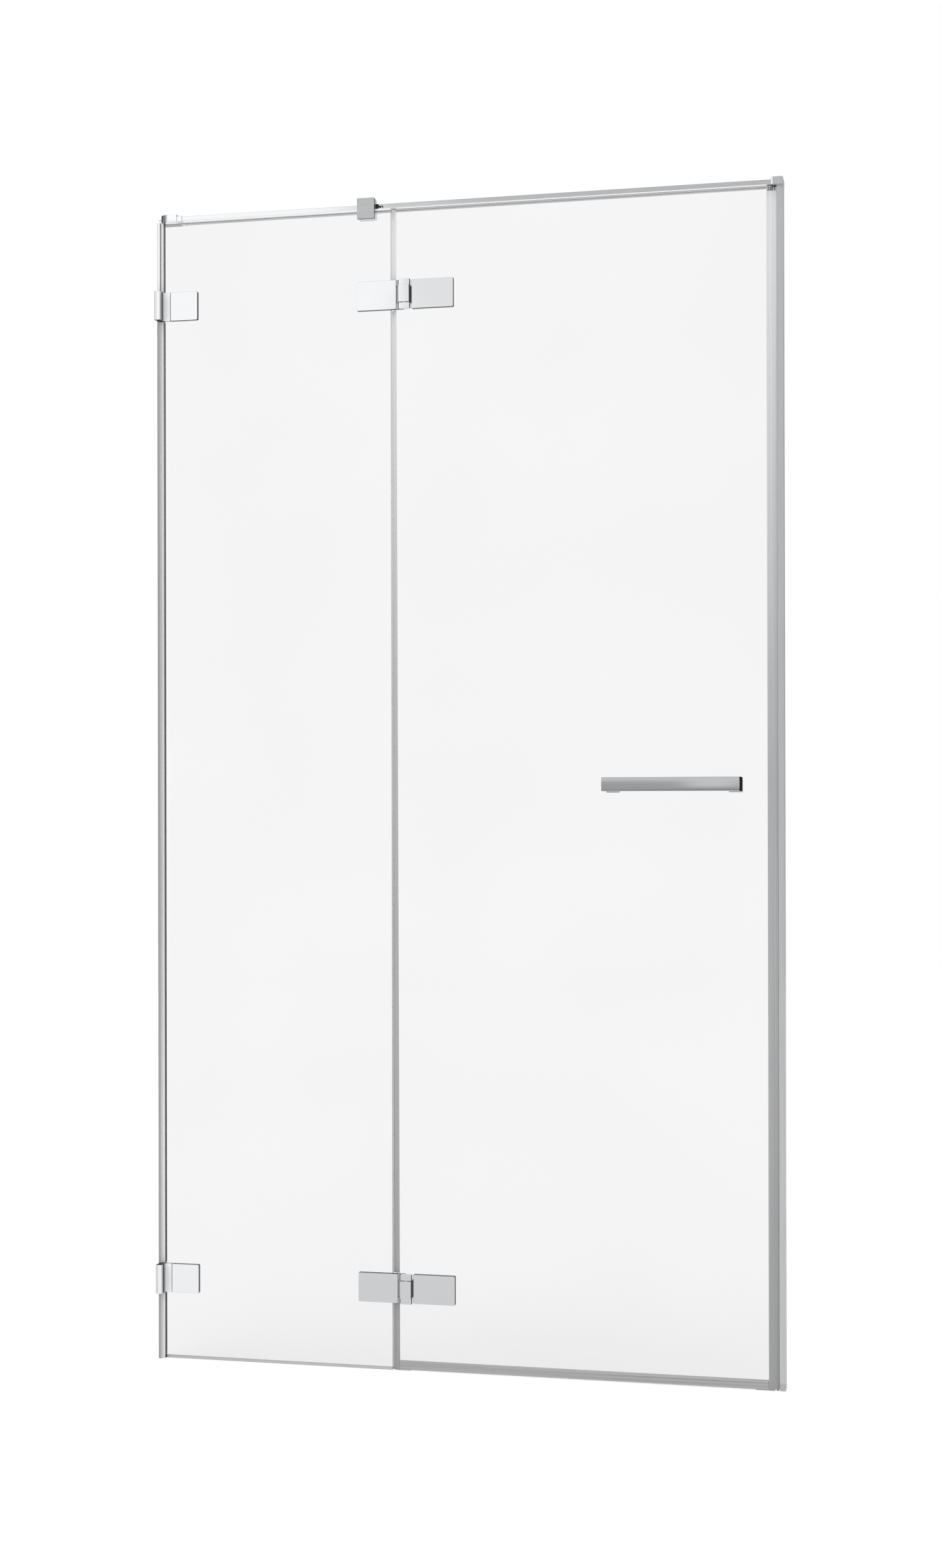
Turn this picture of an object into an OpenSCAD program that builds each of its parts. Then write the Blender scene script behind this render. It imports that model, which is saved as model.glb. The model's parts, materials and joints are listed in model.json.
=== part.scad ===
// Hinged shower door for a wall niche: a fixed glass panel on the left, held by two wall brackets,
// and a glass door on the right that swings outwards on two knuckle hinges.
// A flat stabiliser bar runs over both panels, from wall to wall.
// Frame: X runs along the door from the left wall, -Y is the outside of the shower, +Z is up.
// The origin is on the left wall plane, at floor level, in the middle plane of the glass.

/* [Overall] */
// Width from wall to wall
door_w = 1085; // [1000:5:1200]
// Height of the top of the clamp block over the floor
door_h = 2000; // [1800:10:2200]
// Thickness of both glass panels
glass_t = 8; // [6:1:10]

/* [Fixed panel] */
// Distance from the left wall to the glass edge
edge_gap = 12; // [10:1:15]
// Distance from the left wall to the free edge of the fixed glass
fixed_edge = 418.5; // [380:0.5:460]
// Height of the rubber strip under the fixed glass
sill_h = 4; // [2:1:6]

/* [Door panel] */
// Gap between the two glass panels
panel_gap = 7.5; // [7:0.5:9]
// Height of the lower edge of the door glass over the floor
door_lift = 14; // [10:1:20]
// Width of the magnetic seal and the wall profile at the right
strike_zone = 19; // [19:1:24]

/* [Hinges and brackets] */
// Height of the centre of the lower hinge and the lower bracket
low_z = 141; // [100:1:300]
// Distance from the top of the clamp block down to the centre of the upper hinge and the upper bracket
upper_drop = 165; // [140:1:400]
// Height of the hinge leaves and the bracket plates
leaf_h = 50; // [44:1:60]
// Length of a hinge leaf along the glass
leaf_l = 70; // [66:1:80]
// Thickness of the metal plates
plate_t = 7; // [6:1:9]
// Width of the hinge knuckle
knuckle_w = 19.3; // [18:0.1:19.4]
// Diameter of the hinge pin
pin_d = 7; // [6:0.5:7]

/* [Stabiliser bar] */
// Depth of the flat bar
bar_d = 32; // [26:1:34]
// Thickness of the flat bar
bar_t = 8; // [6:1:8]
// Height of the clamp block
block_h = 35; // [34:1:40]
// Width of the clamp block
block_w = 30.5; // [28:0.5:36]

/* [Handle] */
// Length of the handle
handle_l = 227; // [180:1:260]
// Height of the handle's section
handle_h = 23.5; // [18:0.5:28]
// Distance from the glass to the front of the handle
handle_out = 58; // [45:1:65]
// Height of the handle's middle over the floor
handle_z = 998; // [900:1:1100]
// Distance from the handle's far end to the free edge of the door glass
handle_margin = 49.5; // [40:0.5:90]

/* [Hidden] */
$fn = 48;
eps = 0.01;
half_t = glass_t / 2;
pad_t = 1;
face_in = half_t + pad_t;
face_out = face_in + plate_t;
corner_r = 2.5;
back_inset = 6.5;
wall_x = door_w;
door_edge = fixed_edge + panel_gap;
high_z = door_h - upper_drop;

// Levels at the top: fixed glass, bar and door glass
bar_drop = 18;
block_top = door_h;
block_z0 = block_top - block_h;
bar_z0 = block_top - bar_drop;
bar_z1 = bar_z0 + bar_t;
fixed_top = bar_z0 - 0.5;
door_top = bar_z0 - 1.5;

// Screws of the glass fittings: an M6 screw in a nylon sleeve through a hole in the glass
screw_r = 2.95;
thread_r = 3;
clear_r = 3.2;
head_r = 5.6;
head_h = 2.8;
hole_r = 6;
sleeve_r = 5.9;
hex_af = 4;
screw_pitch = 28;

// Wall brackets
flange_t = edge_gap;
flange_front = -29;
flange_back = 24;
column_r = 4;
neck_x = 23.5;
cover_l = 52;
seam = 0.4;
cover_x0 = neck_x + seam;
cover_x1 = neck_x + cover_l;
bracket_leaf_x1 = cover_x1 - 8.5;
bracket_pitch = 22;
bracket_x = (cover_x0 + bracket_leaf_x1) / 2 + 0.3;
wall_hole_r = 2.75;
wall_head_r = 5.2;
wall_hole_y = 18;
wall_hole_pitch = 28;

// Hinges
axis_x = door_edge + 19.65;
axis_y = -half_t - 10.2;
knuckle_corner = 4;
knuckle_back = 5.5;
end_front = 4.7;
mid_front = 8;
fixed_leaf_x1 = axis_x - 15.25;
fixed_leaf_x0 = fixed_leaf_x1 - leaf_l;
door_leaf_x0 = axis_x + 11.35;
door_leaf_x1 = door_leaf_x0 + leaf_l + 3;
end_seg = 10;
seg_gap = 0.8;
washer_t = 0.6;
bush_r = 4.7;
pin_r = pin_d / 2;
bush_bore = pin_r + 0.05;
pin_press = pin_r;
fixed_screw_x = fixed_edge - 29.1;
door_screw_x = (door_leaf_x0 + door_leaf_x1) / 2;
hinge_z = [low_z, high_z];
seal_cut = leaf_h / 2 + 0.6;

// Seals of the door
door_x1 = wall_x - strike_zone;
seal_leg = 1.2;
seal_out = half_t + seal_leg;
mid_seal_x0 = fixed_edge + 1.4;
mid_seal_x1 = door_edge + 3.8;
mag_seal_x0 = door_x1 - 8.8;
mag_seal_x1 = door_x1 + 8;
drip_top = door_lift + 4.6;
drip_low = 2;
corner_low = 0.6;
plug_l = 24;

// Wall profile at the right
profile_front = -10;
profile_back = 14;
profile_x0 = mag_seal_x1 + 1;
profile_z0 = 2;
profile_wall = 1.5;
strike_wall = 2.8;
magnet_t = 1.5;
foot_h = 12;
channel_w = 7;
profile_screw_z = [200, door_h / 2 - 10, door_h - 220];

// Bar fittings
fitting_front = -18;
fitting_back = 18;
fitting_z0 = bar_z0 - 0.4;
fitting_z1 = bar_z1 + 4;
left_fit_x0 = 11.3;
left_fit_x1 = 40;
left_fit_r = 9;
right_fit_r = 2;
collar_l = 8.4;
right_fit_x0 = door_w - 19.2;
left_stud_r = 4.2;
block_x0 = fixed_edge - 54.1;
block_x1 = block_x0 + block_w;
block_mid = (block_x0 + block_x1) / 2;
block_front = -24;
block_cut = 5;
stop_l = 6;
stop_t = 1.2;
stop_stud_r = 1.9;
barb_l = 3.6;
barb_h = 4.4;
clamp_grub_y = -10;
notch_w = 9;
clamp_inset = 4.5;
clamp_plate_z0 = block_z0 + clamp_inset;
clamp_plate_z1 = bar_z0 - 0.3;
notch_z = (clamp_plate_z0 + clamp_plate_z1) / 2;

// Handle
handle_t = 12;
leg_w = 22.5;
handle_front = -half_t - handle_out;
rosette_t = 5;
rosette_h = handle_h + 3.3;
handle_x1 = door_x1 - handle_margin;
handle_x = handle_x1 - handle_l;
leg_mid = [handle_x + leg_w / 2, handle_x1 - leg_w / 2];
cap_r = 9.5;

// A straight block between two corners
module block(a, b) {
    translate(a) cube(b - a);
}

// A round rod along Y, from y0 to y1
module rod_y(x, z, y0, y1, r) {
    translate([x, y0, z]) rotate([-90, 0, 0]) cylinder(h = y1 - y0, r = r);
}

// A cone along Y that narrows from r0 at y0 to r1 at y1
module cone_y(x, z, y0, y1, r0, r1) {
    translate([x, y0, z]) rotate([-90, 0, 0]) cylinder(h = y1 - y0, r1 = r0, r2 = r1);
}

// A rod along X, from x0 to x1
module rod_x(y, z, x0, x1, r) {
    translate([x0, y, z]) rotate([0, 90, 0]) cylinder(h = x1 - x0, r = r);
}

// A rectangle with round corners, exact arcs
module round_rect(w, h, r) {
    translate([r, 0]) square([w - 2 * r, h]);
    translate([0, r]) square([w, h - 2 * r]);
    for (x = [r, w - r], y = [r, h - r]) translate([x, y]) circle(r = r);
}

// A flat plate parallel to the glass, with round corners
module plate(x0, x1, z0, z1, y0, y1, r) {
    translate([x0, y1, z0]) rotate([90, 0, 0]) linear_extrude(y1 - y0) round_rect(x1 - x0, z1 - z0, r);
}

// A hexagonal prism along Y, for a key
module hex_y(x, z, y0, y1, af) {
    translate([x, y0, z]) rotate([-90, 0, 0]) cylinder(h = y1 - y0, r = af / sqrt(3), $fn = 6);
}

// Places of a pair of screws in one fitting
function pair_x(mid, pitch) = [mid - pitch / 2, mid + pitch / 2];

// The nylon sleeves of a pair of screws
module sleeves(mid, pitch, z) {
    for (x = pair_x(mid, pitch)) {
        difference() {
            rod_y(x, z, -half_t, half_t, sleeve_r);
            rod_y(x, z, -half_t - 1, half_t + 1, clear_r);
        }
    }
}

// A countersunk screw from the inside, whose thread ends inside the front plate
module glass_screw(x, z) {
    difference() {
        union() {
            rod_y(x, z, -face_in - 4.5, face_out - head_h + eps, screw_r);
            cone_y(x, z, face_out - head_h, face_out - 0.2, screw_r, head_r);
        }
        hex_y(x, z, face_out - 2.4, face_out + 1, hex_af);
    }
}

// Clearance for the same screw in a back plate
module screw_seat(x, z) {
    rod_y(x, z, face_in - 1, face_out + 1, clear_r);
    cone_y(x, z, face_out - head_h - 0.2, face_out + eps, clear_r, head_r + 0.25);
}

// Blind thread for the same screw in a front plate
module thread_hole(x, z) {
    rod_y(x, z, -face_in - 5, -face_in + 1, thread_r);
}

// One soft pad between a plate and the glass, from y backwards
module pad(x0, x1, half_h, y, mid, pitch, z) {
    difference() {
        block([x0, y, z - half_h], [x1, y + pad_t, z + half_h]);
        for (x = pair_x(mid, pitch)) rod_y(x, z, y - 1, y + pad_t + 1, clear_r + 0.3);
    }
}

// A pair of soft pads on both sides of the glass, the inner one as small as the inner plate
module pads(x0, x1, back_x1, mid, pitch, z) {
    pad(x0, x1, leaf_h / 2 - 1, -face_in, mid, pitch, z);
    pad(x0 + 2, back_x1, leaf_h / 2 - back_inset - 0.5, half_t, mid, pitch, z);
}

module fixed_glass() {
    color([0.93, 0.96, 0.95, 0.35])
    difference() {
        block([edge_gap, -half_t, sill_h], [fixed_edge, half_t, fixed_top]);
        for (z = hinge_z) {
            for (x = pair_x(bracket_x, bracket_pitch)) rod_y(x, z, -half_t - 1, half_t + 1, hole_r);
            for (x = pair_x(fixed_screw_x, screw_pitch)) rod_y(x, z, -half_t - 1, half_t + 1, hole_r);
        }
        rod_y(block_mid, notch_z, -half_t - 1, half_t + 1, notch_w / 2);
        block([block_mid - notch_w / 2, -half_t - 1, notch_z],
              [block_mid + notch_w / 2, half_t + 1, block_top]);
    }
}

// Chambered rubber profile between the left wall and the glass edge
module gasket_run(z0, z1) {
    translate([0, 0, z0]) linear_extrude(z1 - z0) difference() {
        translate([0, -8]) square([edge_gap - 0.2, half_t + 8]);
        translate([2, -6]) square([edge_gap - 4.5, half_t + 4]);
    }
}

module wall_gasket() {
    stops = [0, low_z - seal_cut, low_z + seal_cut, high_z - seal_cut, high_z + seal_cut, fixed_top];
    color([0.78, 0.79, 0.8])
    for (i = [0, 2, 4]) {
        gasket_run(stops[i], stops[i + 1]);
        translate([0, 0, stops[i] + (i == 0 ? 3 : 0)])
            linear_extrude(stops[i + 1] - stops[i] - (i == 0 ? 3 : 0))
                polygon([[0, -14], [5.6, -14], [6.6, -13], [6.6, -7.9], [0, -7.9]]);
    }
}

module fixed_bottom_seal() {
    color([0.6, 0.61, 0.62])
    block([edge_gap - 0.1, -half_t - 1, 0], [fixed_edge, half_t + 1, sill_h]);
}

// Flange of a wall bracket from above: a column with round front corners, straight at the back
module flange_plan() {
    w = flange_t - 0.2;
    translate([0, flange_front]) round_rect(w, 3 * column_r, column_r);
    translate([0, flange_front + column_r]) square([w, flange_back - flange_front - column_r]);
}

// One wall bracket: a flange on the wall, a front neck and a leaf behind the glass
module bracket_body(z) {
    z0 = z - leaf_h / 2;
    z1 = z + leaf_h / 2;
    color([0.84, 0.85, 0.86])
    difference() {
        union() {
            translate([0, 0, z0]) linear_extrude(z1 - z0) flange_plan();
            block([flange_t - 0.3, -face_out, z0], [neck_x, -face_in, z1]);
            block([flange_t - 0.3, face_in, z0 + back_inset], [neck_x, face_out, z1 - back_inset]);
            plate(flange_t, bracket_leaf_x1, z0 + back_inset, z1 - back_inset, face_in, face_out, corner_r);
        }
        for (dz = [-wall_hole_pitch / 2, wall_hole_pitch / 2]) {
            rod_x(wall_hole_y, z + dz, -1, flange_t + 1, wall_hole_r);
            rod_x(wall_hole_y, z + dz, flange_t - 5, flange_t + 1, wall_head_r);
        }
        for (x = pair_x(bracket_x, bracket_pitch)) screw_seat(x, z);
    }
}

module bracket_cover(z) {
    color([0.93, 0.93, 0.94])
    difference() {
        union() {
            plate(cover_x0, cover_x1, z - leaf_h / 2, z + leaf_h / 2, -face_out, -face_in, corner_r);
            block([cover_x0, -face_out, z - leaf_h / 2], [cover_x0 + 4, -face_in, z + leaf_h / 2]);
        }
        for (x = pair_x(bracket_x, bracket_pitch)) thread_hole(x, z);
    }
}

module upper_bracket_body() { bracket_body(high_z); }
module lower_bracket_body() { bracket_body(low_z); }
module upper_bracket_cover() { bracket_cover(high_z); }
module lower_bracket_cover() { bracket_cover(low_z); }

module bracket_pads() {
    color([0.8, 0.82, 0.82])
    for (z = hinge_z) {
        pads(edge_gap + 1, cover_x1 - 1, bracket_leaf_x1 - 1, bracket_x, bracket_pitch, z);
    }
}

module bracket_sleeves() {
    color([0.9, 0.9, 0.88])
    for (z = hinge_z) sleeves(bracket_x, bracket_pitch, z);
}

module bracket_screws() {
    color([0.6, 0.6, 0.62])
    for (z = hinge_z, x = pair_x(bracket_x, bracket_pitch)) glass_screw(x, z);
}

// Flat bar over both panels, with its ends in the wall fittings
module stabiliser_bar() {
    color([0.8, 0.81, 0.82])
    block([left_fit_x0 + 6, -bar_d / 2, bar_z0], [door_w - 4, bar_d / 2, bar_z1]);
}

// Pocket for the bar in a fitting
module bar_pocket(x0, x1) {
    block([x0, -bar_d / 2, bar_z0], [x1, bar_d / 2, bar_z1]);
}

// Threaded hole for a grub screw in the roof of a fitting
module grub_hole(x) {
    translate([x, 0, bar_z1 - 1]) cylinder(h = fitting_z1 - bar_z1 + 2, r = 2.5);
}

// A wall fitting of the bar from above, with its front left corner rounded
module fitting_plan(x0, x1, r) {
    translate([x0 + r, fitting_front]) square([x1 - x0 - r, fitting_back - fitting_front]);
    translate([x0, fitting_front + r]) square([r + 1, fitting_back - fitting_front - r]);
    translate([x0 + r, fitting_front + r]) circle(r = r);
}

module left_bar_fitting() {
    color([0.9, 0.9, 0.91])
    difference() {
        translate([0, 0, fitting_z0]) linear_extrude(fitting_z1 - fitting_z0)
            fitting_plan(left_fit_x0, left_fit_x1, left_fit_r);
        bar_pocket(left_fit_x0 + 6, left_fit_x1 + 1);
        grub_hole((left_fit_x0 + left_fit_x1) / 2);
        rod_x(0, (bar_z0 + bar_z1) / 2, left_fit_x0 - 1, left_fit_x0 + 7, 3);
    }
}

// Slim collar where the bar leaves the left fitting
module left_bar_collar() {
    color([0.9, 0.9, 0.91])
    difference() {
        block([left_fit_x1, -bar_d / 2 - 1, bar_z0 - 0.4],
              [left_fit_x1 + collar_l, bar_d / 2 + 1, bar_z1 + 1]);
        bar_pocket(left_fit_x1 - 1, left_fit_x1 + collar_l + 1);
    }
}

// Round spacer and stud between the left fitting and the wall
module left_bar_stud() {
    color([0.8, 0.8, 0.82])
    union() {
        rod_x(0, (bar_z0 + bar_z1) / 2, 0, left_fit_x0, left_stud_r);
        rod_x(0, (bar_z0 + bar_z1) / 2, left_fit_x0 - 1, left_fit_x0 + 5.5, 2.95);
    }
}

module right_bar_fitting() {
    color([0.72, 0.73, 0.74])
    difference() {
        translate([0, 0, fitting_z0]) linear_extrude(fitting_z1 - fitting_z0)
            fitting_plan(right_fit_x0, wall_x, right_fit_r);
        bar_pocket(right_fit_x0 - 1, door_w - 4);
        grub_hole(right_fit_x0 + 8);
    }
}

// Headless screws that lock the bar in both fittings and in the clamp block
module grub(x, y, z1) {
    difference() {
        translate([x, y, bar_z1]) cylinder(h = z1 - bar_z1, r = 2.45);
        translate([x, y, z1 - 2]) cylinder(h = 3, r = 2.5 / sqrt(3), $fn = 6);
    }
}

module bar_grub_screws() {
    color([0.45, 0.45, 0.47])
    union() {
        grub((left_fit_x0 + left_fit_x1) / 2, 0, fitting_z1 - 0.4);
        grub(right_fit_x0 + 8, 0, fitting_z1 - 0.4);
        grub(block_mid, clamp_grub_y, block_top - 0.6);
    }
}

// Black rubber stop on the front of the bar, right of the clamp, with a round stud and a barb
module bar_stop() {
    y0 = -bar_d / 2 - stop_t;
    y1 = -bar_d / 2;
    stud_x = block_x1 + stop_l + stop_stud_r + 0.5;
    stud_z = bar_z0 + stop_stud_r + 1.5;
    barb_x = stud_x + stop_stud_r + 1;
    barb_z = bar_z0 + 2.2;
    color([0.1, 0.1, 0.11])
    union() {
        block([block_x1 + 0.1, y0, bar_z0 + 0.4], [block_x1 + stop_l, y1, bar_z1]);
        rod_y(stud_x, stud_z, y0, y1, stop_stud_r);
        translate([0, y1, 0]) rotate([90, 0, 0]) linear_extrude(stop_t)
            polygon([[barb_x, barb_z], [barb_x + barb_l, barb_z], [barb_x, barb_z + barb_h]]);
    }
}

// Block on the front of the fixed glass that grips the bar, with its rear top edge cut away
module clamp_block() {
    color([0.76, 0.77, 0.78])
    difference() {
        translate([block_x0, 0, 0]) rotate([90, 0, 90]) linear_extrude(block_w)
            polygon([
                [block_front, block_z0], [-face_in, block_z0], [-face_in, block_top - block_cut],
                [-face_in - block_cut, block_top], [block_front, block_top]
            ]);
        block([block_x0 - 1, -bar_d / 2, bar_z0], [block_x1 + 1, bar_d / 2, bar_z1]);
        translate([block_mid, clamp_grub_y, bar_z1 - 1]) cylinder(h = block_top - bar_z1 + 2, r = 2.5);
        rod_y(block_mid, notch_z, -face_in - 10, -face_in + 1, thread_r);
    }
}

module clamp_back_plate() {
    color([0.76, 0.77, 0.78])
    difference() {
        plate(block_x0 + clamp_inset, block_x1 - clamp_inset, clamp_plate_z0, clamp_plate_z1,
              face_in, face_in + 8, 1.5);
        rod_y(block_mid, notch_z, face_in - 1, face_in + 9, clear_r);
        rod_y(block_mid, notch_z, face_in + 5, face_in + 9, 5);
    }
}

// One soft pad of the clamp from y backwards, smaller than its plate by inset
module clamp_pad(y, inset) {
    difference() {
        block([block_x0 + inset, y, block_z0 + inset], [block_x1 - inset, y + pad_t, clamp_plate_z1 - 0.3]);
        rod_y(block_mid, notch_z, y - 1, y + 2, clear_r + 0.3);
    }
}

module clamp_pads() {
    color([0.12, 0.12, 0.13])
    union() {
        clamp_pad(-face_in, 0.5);
        clamp_pad(half_t, clamp_inset + 0.5);
    }
}

// Socket head screw that pulls both halves of the clamp together
module clamp_screw() {
    color([0.6, 0.6, 0.62])
    difference() {
        union() {
            rod_y(block_mid, notch_z, -face_in - 9, face_in + 5 + eps, screw_r);
            rod_y(block_mid, notch_z, face_in + 5, face_in + 7.8, 4.8);
        }
        hex_y(block_mid, notch_z, face_in + 6, face_in + 9, 4);
    }
}

// Aluminium channel on the right wall
module wall_profile() {
    web_x = wall_x - profile_wall;
    color([0.72, 0.73, 0.74])
    translate([0, 0, profile_z0])
    linear_extrude(fitting_z0 - profile_z0)
    union() {
        translate([web_x, profile_front + 1]) square([profile_wall, profile_back - profile_front - 2]);
        translate([wall_x - channel_w, profile_front + 1]) square([channel_w, profile_wall]);
        translate([wall_x - channel_w, profile_back - 1 - profile_wall]) square([channel_w, profile_wall]);
    }
}

// Inner aluminium profile that slides in the wall channel and carries the strike
module strike_profile() {
    color([0.72, 0.73, 0.74])
    translate([0, 0, profile_z0 + foot_h])
    linear_extrude(fitting_z0 - profile_z0 - foot_h)
    difference() {
        union() {
            translate([profile_x0, profile_front]) square([wall_x - profile_x0, 1]);
            translate([profile_x0, profile_front]) square([strike_wall, profile_back - profile_front]);
            translate([profile_x0, profile_back - 1]) square([wall_x - profile_x0, 1]);
        }
        translate([profile_x0 - 1, -3]) square([1 + magnet_t + 0.1, 6]);
    }
}

// Magnet strip set in the strike profile
module strike_magnet() {
    color([0.2, 0.2, 0.21])
    block([profile_x0 + 0.1, -2.95, profile_z0 + foot_h], [profile_x0 + magnet_t, 2.95, fitting_z0]);
}

module profile_foot_cap() {
    color([0.66, 0.67, 0.68])
    difference() {
        block([profile_x0, profile_front, profile_z0], [wall_x, profile_back, profile_z0 + foot_h]);
        block([wall_x - channel_w - 0.1, profile_front + 0.9, profile_z0 - 1],
              [wall_x + 1, profile_back - 0.9, profile_z0 + foot_h + 1]);
    }
}

// Small screws on the inside that lock the strike profile to the wall channel
module profile_screws() {
    color([0.6, 0.6, 0.62])
    for (z = profile_screw_z) {
        difference() {
            rod_y(wall_x - 4, z, profile_back, profile_back + 1.6, 2.4);
            hex_y(wall_x - 4, z, profile_back + 0.6, profile_back + 2, 2);
        }
    }
}

// Half of the height of the middle knuckle
function mid_half() = leaf_h / 2 - end_seg - seg_gap / 2;

// A knuckle segment round the hinge axis: a flat-fronted block with round corners
module knuckle(z0, h, front) {
    translate([axis_x - knuckle_w / 2, axis_y - front, z0]) linear_extrude(h)
        round_rect(knuckle_w, front + knuckle_back, knuckle_corner);
}

// Knuckle ends of the fixed leaf, one above and one below the door's knuckle
module fixed_leaf(z) {
    color([0.86, 0.87, 0.88])
    difference() {
        union() {
            plate(fixed_leaf_x0, fixed_leaf_x1, z - leaf_h / 2, z + leaf_h / 2, -face_out, -face_in, corner_r);
            for (side = [-1, 1]) {
                zc = z + side * (leaf_h / 2 - end_seg / 2 + seg_gap / 4);
                seg = end_seg - seg_gap / 2;
                knuckle(zc - seg / 2, seg, end_front);
                block([fixed_leaf_x1 - 3, -face_out + 1, zc - seg / 2],
                      [axis_x - 3, -face_in - 0.2, zc + seg / 2]);
            }
        }
        translate([axis_x, axis_y, z - leaf_h]) cylinder(h = 2 * leaf_h, r = pin_press);
        for (x = pair_x(fixed_screw_x, screw_pitch)) thread_hole(x, z);
    }
}

// Leaf on the door glass with the middle knuckle
module door_leaf(z) {
    color([0.84, 0.85, 0.86])
    difference() {
        union() {
            plate(door_leaf_x0, door_leaf_x1, z - leaf_h / 2, z + leaf_h / 2, -face_out, -face_in, corner_r);
            knuckle(z - mid_half(), 2 * mid_half(), mid_front);
            block([axis_x + 3, -face_out + 1, z - mid_half()],
                  [door_leaf_x0 + 3, -face_in - 0.2, z + mid_half()]);
        }
        translate([axis_x, axis_y, z - leaf_h]) cylinder(h = 2 * leaf_h, r = bush_r);
        for (x = pair_x(door_screw_x, screw_pitch)) thread_hole(x, z);
    }
}

module upper_hinge_fixed_leaf() { fixed_leaf(high_z); }
module lower_hinge_fixed_leaf() { fixed_leaf(low_z); }
module upper_hinge_door_leaf() { door_leaf(high_z); }
module lower_hinge_door_leaf() { door_leaf(low_z); }

// Inner plates of the hinges, lower than the outer ones
module back_plates(x0, x1, mid) {
    half_h = leaf_h / 2 - back_inset;
    for (z = hinge_z) {
        difference() {
            plate(x0, x1, z - half_h, z + half_h, face_in, face_out, corner_r);
            for (x = pair_x(mid, screw_pitch)) screw_seat(x, z);
        }
    }
}

module hinge_fixed_back_plates() {
    color([0.84, 0.85, 0.86])
    back_plates(fixed_leaf_x0 + 2, fixed_edge - 0.5, fixed_screw_x);
}

module hinge_door_back_plates() {
    color([0.84, 0.85, 0.86])
    back_plates(door_leaf_x0 + 2, door_leaf_x1 - back_inset, door_screw_x);
}

module hinge_fixed_pads() {
    color([0.8, 0.82, 0.82])
    for (z = hinge_z) {
        pads(fixed_leaf_x0 + 1, fixed_edge - 1, fixed_edge - 1, fixed_screw_x, screw_pitch, z);
    }
}

module hinge_door_pads() {
    color([0.8, 0.82, 0.82])
    for (z = hinge_z) {
        pads(door_leaf_x0 + 1, door_leaf_x1 - 1, door_leaf_x1 - back_inset - 0.5,
             door_screw_x, screw_pitch, z);
    }
}

module hinge_fixed_sleeves() {
    color([0.9, 0.9, 0.88])
    for (z = hinge_z) sleeves(fixed_screw_x, screw_pitch, z);
}

module hinge_door_sleeves() {
    color([0.9, 0.9, 0.88])
    for (z = hinge_z) sleeves(door_screw_x, screw_pitch, z);
}

module hinge_fixed_screws() {
    color([0.6, 0.6, 0.62])
    for (z = hinge_z, x = pair_x(fixed_screw_x, screw_pitch)) glass_screw(x, z);
}

module hinge_door_screws() {
    color([0.6, 0.6, 0.62])
    for (z = hinge_z, x = pair_x(door_screw_x, screw_pitch)) glass_screw(x, z);
}

module hinge_pins() {
    color([0.7, 0.7, 0.72])
    for (z = hinge_z) {
        translate([axis_x, axis_y, z - leaf_h / 2 + 0.5]) cylinder(h = leaf_h - 1, r = pin_r);
    }
}

// Nylon bush pressed into the middle knuckle
module hinge_bushes() {
    color([0.9, 0.9, 0.88])
    for (z = hinge_z) {
        translate([axis_x, axis_y, z - mid_half()]) difference() {
            cylinder(h = 2 * mid_half(), r = bush_r);
            translate([0, 0, -1]) cylinder(h = 2 * mid_half() + 2, r = bush_bore);
        }
    }
}

// Nylon rings that the middle knuckle turns on
module hinge_washers() {
    color([0.9, 0.9, 0.88])
    for (z = hinge_z, side = [-1, 1]) {
        zc = z + side * (mid_half() + seg_gap / 2);
        translate([axis_x, axis_y, zc - washer_t / 2]) difference() {
            cylinder(h = washer_t, r = end_front - 0.1);
            translate([0, 0, -1]) cylinder(h = washer_t + 2, r = pin_r + 0.1);
        }
    }
}

module door_glass() {
    color([0.93, 0.96, 0.95, 0.35])
    difference() {
        block([door_edge, -half_t, door_lift], [door_x1, half_t, door_top]);
        for (z = hinge_z, x = pair_x(door_screw_x, screw_pitch)) {
            rod_y(x, z, -half_t - 1, half_t + 1, hole_r);
        }
        for (x = leg_mid) rod_y(x, handle_z, -half_t - 1, half_t + 1, hole_r);
    }
}

// Clip seal on the hinge edge of the door, cut away at the hinges
module mid_seal() {
    stops = [corner_low, low_z - seal_cut, low_z + seal_cut, high_z - seal_cut, high_z + seal_cut, door_top];
    web_x = door_edge - 1.4;
    color([0.8, 0.82, 0.82])
    for (i = [0, 2, 4]) {
        translate([0, 0, stops[i]])
        linear_extrude(stops[i + 1] - stops[i])
        difference() {
            union() {
                translate([web_x, -seal_out]) square([mid_seal_x1 - web_x, 2 * seal_out]);
                translate([mid_seal_x0 + 2.6, 0]) circle(r = 2.6);
                translate([mid_seal_x0 + 2.6, -2.6]) square([web_x - mid_seal_x0 - 2.5, 5.2]);
            }
            translate([mid_seal_x0 + 2.8, 0]) circle(r = 1.6);
            translate([door_edge, -half_t]) square([10, 2 * half_t]);
        }
    }
}

// Clip seal on the free edge of the door, with a chamber for the magnet
module magnetic_seal() {
    color([0.8, 0.82, 0.82])
    translate([0, 0, corner_low])
    linear_extrude(door_top - corner_low)
    difference() {
        translate([mag_seal_x0, -seal_out]) square([mag_seal_x1 - mag_seal_x0, 2 * seal_out]);
        translate([mag_seal_x0 - 1, -half_t]) square([door_x1 - mag_seal_x0 + 1, 2 * half_t]);
        translate([door_x1 + 1.2, -half_t]) square([mag_seal_x1 - door_x1 - 2.4, 2 * half_t]);
    }
}

module door_magnet() {
    color([0.2, 0.2, 0.21])
    block([door_x1 + 4, -half_t + 0.2, corner_low + 0.2], [mag_seal_x1 - 1.4, half_t - 0.2, door_top - 0.3]);
}

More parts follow.
